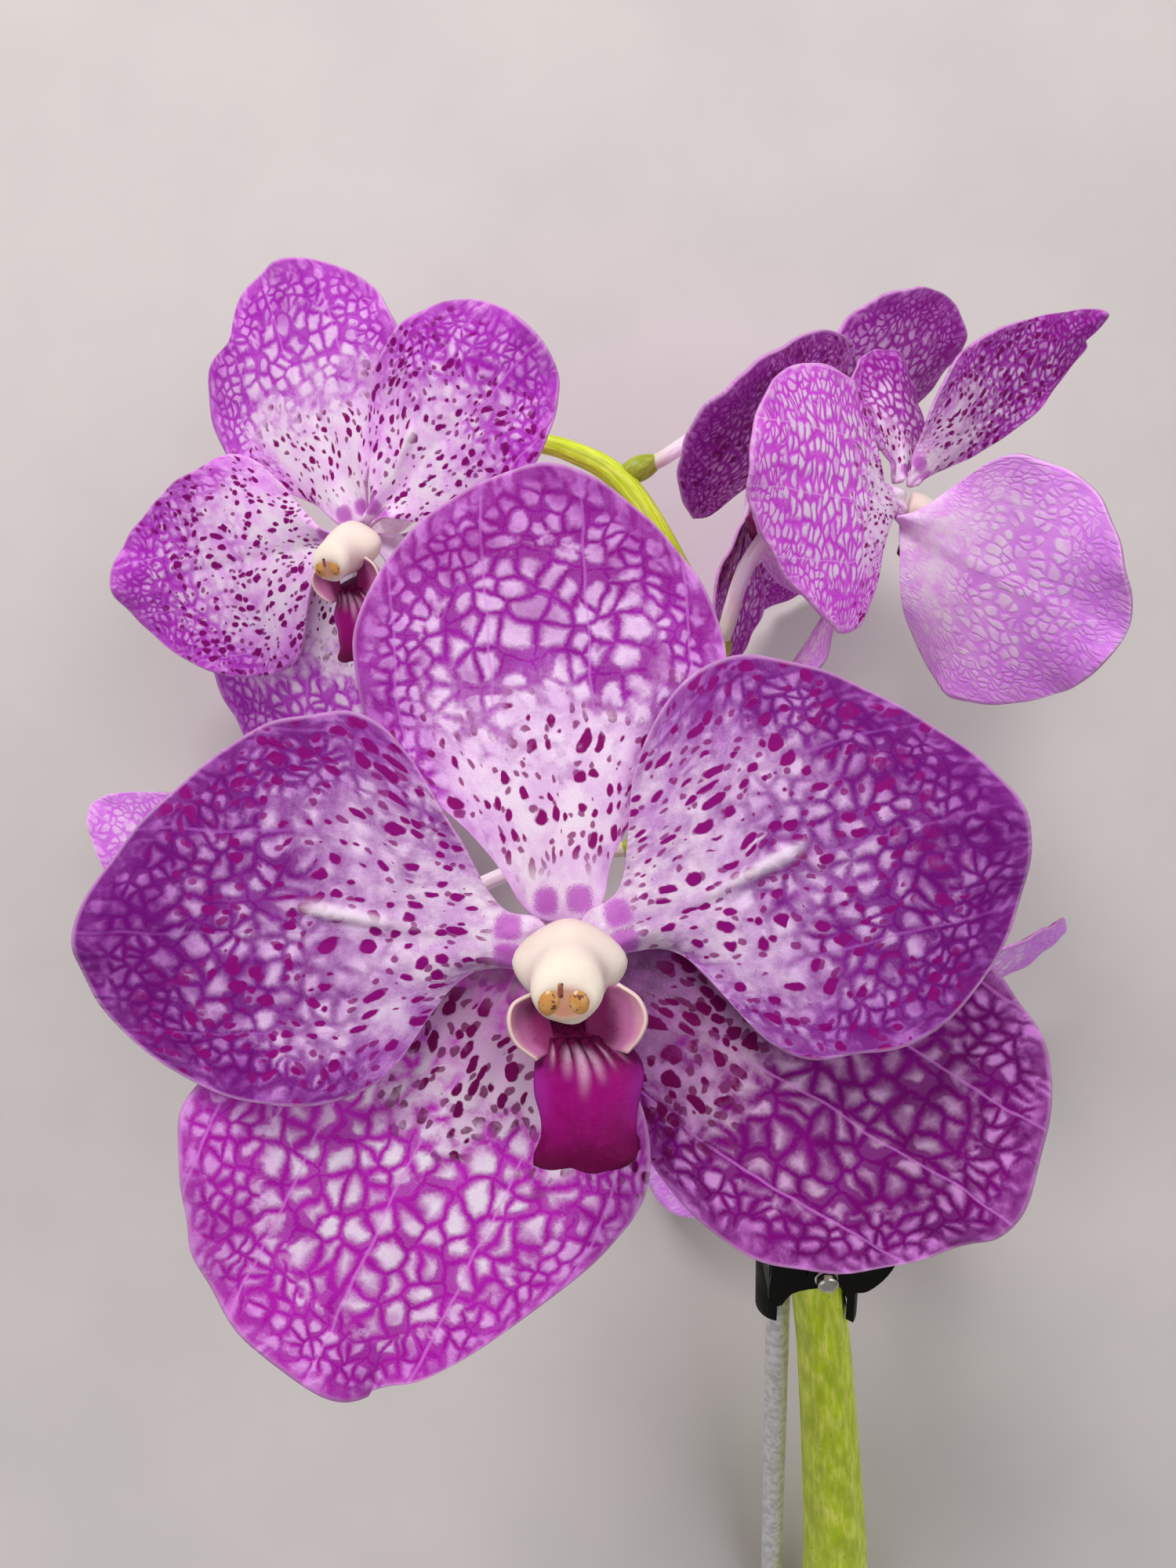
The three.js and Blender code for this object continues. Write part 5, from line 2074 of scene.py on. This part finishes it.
@dataclass(frozen=True)
class Studio:
    """The plain pale floor, the soft lights and the camera, in metres."""

    half: float = 4.0
    floor: Colour = srgb(216, 209, 206)
    shade: Colour = srgb(210, 204, 201)
    lamps: tuple[Lamp, ...] = (
        Lamp("key", (-0.3, 0.75, 0.65), 0.35, 6.8, (1.0, 0.985, 0.97)),
        Lamp("fill", (0.5, 0.2, 0.8), 0.7, 2.6, (0.98, 0.98, 1.0)),
        Lamp("low", (-0.5, -0.4, 0.6), 0.6, 0.8, (1.0, 0.98, 0.97)),
    )
    aim: Triple = (0, 0, 0.05)
    sky: Colour = (0.97, 0.97, 1.0, 1.0)
    sky_strength: float = 0.24
    camera_at: Triple = (0.00205, 0.0425, 0.222)
    lens: float = 27.0
    sensor: float = 36.0
    clip: tuple[float, float] = (0.005, 20.0)

    def add_floor(self) -> None:
        """Builds the floor."""
        made = bmesh.new()
        bmesh.ops.create_grid(made, x_segments=2, y_segments=2, size=self.half)
        mesh = bpy.data.meshes.new("floor")
        made.to_mesh(mesh)
        made.free()
        material, graph, shader = new_material("Floor")
        place = graph.own_place()
        soft = graph.noise_at(place, 30.0, 3.0)
        tint = graph.mix(graph.step(soft, 0.3, 0.7), self.floor, self.shade)
        graph.feed(shader.inputs["Base Color"], tint)
        set_inputs(shader, Roughness=0.85)
        mesh.materials.append(material)
        floor = bpy.data.objects.new("floor", mesh)
        bpy.context.scene.collection.objects.link(floor)

    def add_light(self, lamp: Lamp) -> None:
        """Adds one light, which points at the spray."""
        data = bpy.data.lights.new(lamp.name, "AREA")
        data.size = lamp.size
        data.energy = lamp.power
        data.color = lamp.tint
        light = bpy.data.objects.new(lamp.name, data)
        light.location = lamp.at
        towards = Vector(self.aim) - Vector(lamp.at)
        light.rotation_euler = towards.to_track_quat("-Z", "Y").to_euler()
        bpy.context.scene.collection.objects.link(light)

    def add_world(self) -> None:
        """Adds an even pale sky."""
        world = bpy.data.worlds.new("Sky")
        world.use_nodes = True
        sky = next(node for node in world.node_tree.nodes if node.type == "BACKGROUND")
        set_inputs(sky, Color=self.sky, Strength=self.sky_strength)
        bpy.context.scene.world = world

    def add_camera(self) -> None:
        """Adds the camera, which looks straight down at the spray."""
        data = bpy.data.cameras.new("camera")
        data.lens = self.lens
        data.sensor_width = self.sensor
        data.clip_start, data.clip_end = self.clip
        camera = bpy.data.objects.new("camera", data)
        camera.location = self.camera_at
        bpy.context.scene.collection.objects.link(camera)
        bpy.context.scene.camera = camera

    def build(self) -> None:
        """Builds the whole stage."""
        self.add_floor()
        for lamp in self.lamps:
            self.add_light(lamp)
        self.add_world()
        self.add_camera()
        bpy.context.scene.view_settings.view_transform = "Standard"


# ---- The finishes in use ----

PALE_LATER = {Net.DORSAL: 0.05, Net.PETAL: 0.14, Net.SEPAL: 0.14}
DEEP_SOONER = 0.1
DEEP_CELL = 0.8


def tepal_finishes() -> tuple[
    dict[tuple[Looks, Net], TepalFinish], dict[Looks, TepalFinish]
]:
    """Sets out the finish of each kind of tepal, for each look.

    Returns:
        The faces by look and net, and the backs by look.
    """
    dorsal = TepalFinish(
        "Dorsal net",
        cell=3.0,
        stretch=0.95,
        line=0.16,
        spot_to=0.52,
        spot_size=0.32,
        tip=0.55,
        ground=srgb(253, 228, 254),
        blush=srgb(214, 132, 224),
        far=srgb(198, 100, 206),
        net=srgb(176, 46, 186),
        deep=srgb(142, 4, 138),
        spot=srgb(140, 8, 108),
    )
    petal = TepalFinish(
        "Petal net",
        cell=2.35,
        stretch=1.15,
        line=0.22,
        net_from=0.2,
        net_full=0.64,
        spot_to=0.88,
        spot_size=0.34,
        cloud=0.56,
        edge=0.6,
        tip=0.8,
        border=0.1,
        pad_at=4.4,
        pad_apart=1.4,
        ground=srgb(240, 208, 243),
        blush=srgb(184, 100, 198),
        far=srgb(174, 84, 184),
        net=srgb(150, 44, 160),
        deep=srgb(112, 4, 118),
        spot=srgb(140, 4, 118),
    )
    sepal = TepalFinish(
        "Sepal net",
        cell=2.8,
        stretch=1.3,
        line=0.22,
        net_from=0.22,
        net_full=0.42,
        spot_to=0.46,
        spot_size=0.42,
        cloud=0.25,
        edge=0.75,
        margin_from=0.86,
        border=0.3,
        tip=0.15,
        pad=0.0,
        # This dark base colour near the root is painted shade, where the sepals lie under the lip
        # and petals.
        base=srgb(166, 124, 156),
        ground=srgb(255, 244, 255),
        blush=srgb(244, 150, 250),
        net=srgb(204, 42, 200),
        deep=srgb(162, 0, 154),
        spot=srgb(112, 0, 82),
    )
    opened = {Net.DORSAL: dorsal, Net.PETAL: petal, Net.SEPAL: sepal}
    faces = {(Looks.OPEN, net): finish for net, finish in opened.items()}
    # The front bloom's right sepal lies in the shadow of its right petal, so its net is a darkened
    # copy: the darker base, ground, net and deep colours are painted shade, and the lighter blush
    # at its edge is painted light. Its thicker lines and larger spots are its own.
    faces[Looks.OPEN, Net.DUSK] = replace(
        sepal,
        name="Sepal net with painted shade",
        line=0.28,
        spot_size=0.46,
        edge=0.85,
        margin_from=0.84,
        border=0.4,
        base=srgb(98, 60, 90),
        ground=srgb(214, 178, 208),
        blush=srgb(240, 146, 246),
        net=srgb(142, 6, 138),
        deep=srgb(106, 0, 98),
    )
    # This copy of the sepal net is lightened as painted light, for a tepal of the near right-hand
    # bloom that faces away from the key lamp. Its cell shape, lines and spots are its own.
    faces[Looks.DEEP, Net.BRIGHT] = replace(
        sepal,
        name="Sepal net with painted light",
        cell=3.2,
        stretch=0.52,
        line=0.16,
        spot_size=0.3,
        base=srgb(255, 240, 252),
        ground=srgb(255, 244, 255),
        blush=srgb(255, 196, 255),
        net=srgb(236, 90, 240),
        deep=srgb(206, 44, 212),
        spot=srgb(150, 10, 118),
    )
    # Both looks are partly lightened beyond the blooms' own colour, as painted light for blooms
    # that lie lower and get less light than the front one; their nets, cells and spots are their
    # own.
    for net, finish in opened.items():
        faces[Looks.PALE, net] = replace(
            finish,
            name=f"Pale {finish.name.lower()}",
            net_from=finish.net_from + PALE_LATER[net],
            net_full=finish.net_full + PALE_LATER[net],
            spot_size=min(finish.spot_size, 0.36),
            tip=0.45,
            base=srgb(253, 240, 252),
            ground=srgb(255, 236, 255),
            blush=srgb(248, 158, 255),
            far=srgb(236, 132, 246),
            net=srgb(210, 82, 224),
            deep=srgb(176, 32, 188),
        )
        faces[Looks.DEEP, net] = replace(
            finish,
            name=f"Deep {finish.name.lower()}",
            cell=finish.cell * DEEP_CELL,
            spot_size=min(finish.spot_size, 0.37),
            net_from=finish.net_from - DEEP_SOONER,
            net_full=finish.net_full - DEEP_SOONER,
            tip=0.7,
            ground=srgb(255, 228, 254),
            blush=srgb(232, 150, 238),
            far=srgb(214, 108, 220),
            net=srgb(190, 54, 194),
            deep=srgb(156, 14, 156),
        )
    back = TepalFinish(
        "Tepal back",
        cell=2.3,
        line=0.14,
        net_from=0.1,
        net_full=0.6,
        spot_size=0.0,
        pad=0.0,
        tip=0.2,
        cloud=0.6,
        ground=srgb(254, 222, 254),
        base=srgb(255, 244, 252),
        blush=srgb(250, 186, 254),
        net=srgb(226, 134, 240),
        deep=srgb(208, 98, 224),
        margin=srgb(252, 216, 253),
    )
    backs = {
        Looks.OPEN: back,
        Looks.PALE: replace(back, name="Pale tepal back"),
        # The deep backs are lightened beyond their own colour, as painted light for the backs of
        # the right-hand blooms, which lie in the shade of other tepals.
        Looks.DEEP: replace(
            back,
            name="Deep tepal back",
            cell=1.8,
            stretch=1.5,
            line=0.12,
            cloud=0.75,
            tip=0.6,
            ground=srgb(255, 240, 255),
            blush=srgb(250, 190, 255),
            far=srgb(238, 158, 255),
            net=srgb(246, 172, 255),
            deep=srgb(230, 136, 250),
        ),
    }
    return faces, backs


def main() -> None:
    """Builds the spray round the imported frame, then its stage."""
    logging.basicConfig(level=logging.INFO, format="%(name)s: %(message)s")
    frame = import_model()
    net, fibres = net_group(), fibre_group()
    faces, backs = tepal_finishes()
    notch = AntherFinish("Notch brown", srgb(150, 74, 60), srgb(90, 30, 24))
    bract = StemFinish("Bract green", 14.0, 3.0, srgb(150, 164, 36), srgb(196, 200, 90))
    finishes = Finishes(
        faces={key: finish.build(net) for key, finish in faces.items()},
        backs={looks: finish.build(net) for looks, finish in backs.items()},
        column=ColumnFinish().build(),
        anther=AntherFinish().build(),
        notch=notch.build(),
        lip=LipFinish().build(),
        lobe=LobeFinish().build(),
        pedicel=PedicelFinish().build(fibres),
        bract=bract.build(fibres),
    )
    for count, bloom in enumerate(bloom_set()):
        bloom.add_tepals(finishes, FIRST_SEED + BLOOM_SEED * count)
        bloom.add_centre(finishes)
        bloom.add_pedicel(finishes)
    Stem().build(StemFinish().build(fibres))
    clip = Clip()
    steel = RivetFinish().build()
    clip.stake(RodFinish().build())
    clip.dress(frame["nodes"], PlasticFinish().build(), steel)
    clip.rivet(steel)
    Studio().build()


if __name__ == "__main__":
    main()
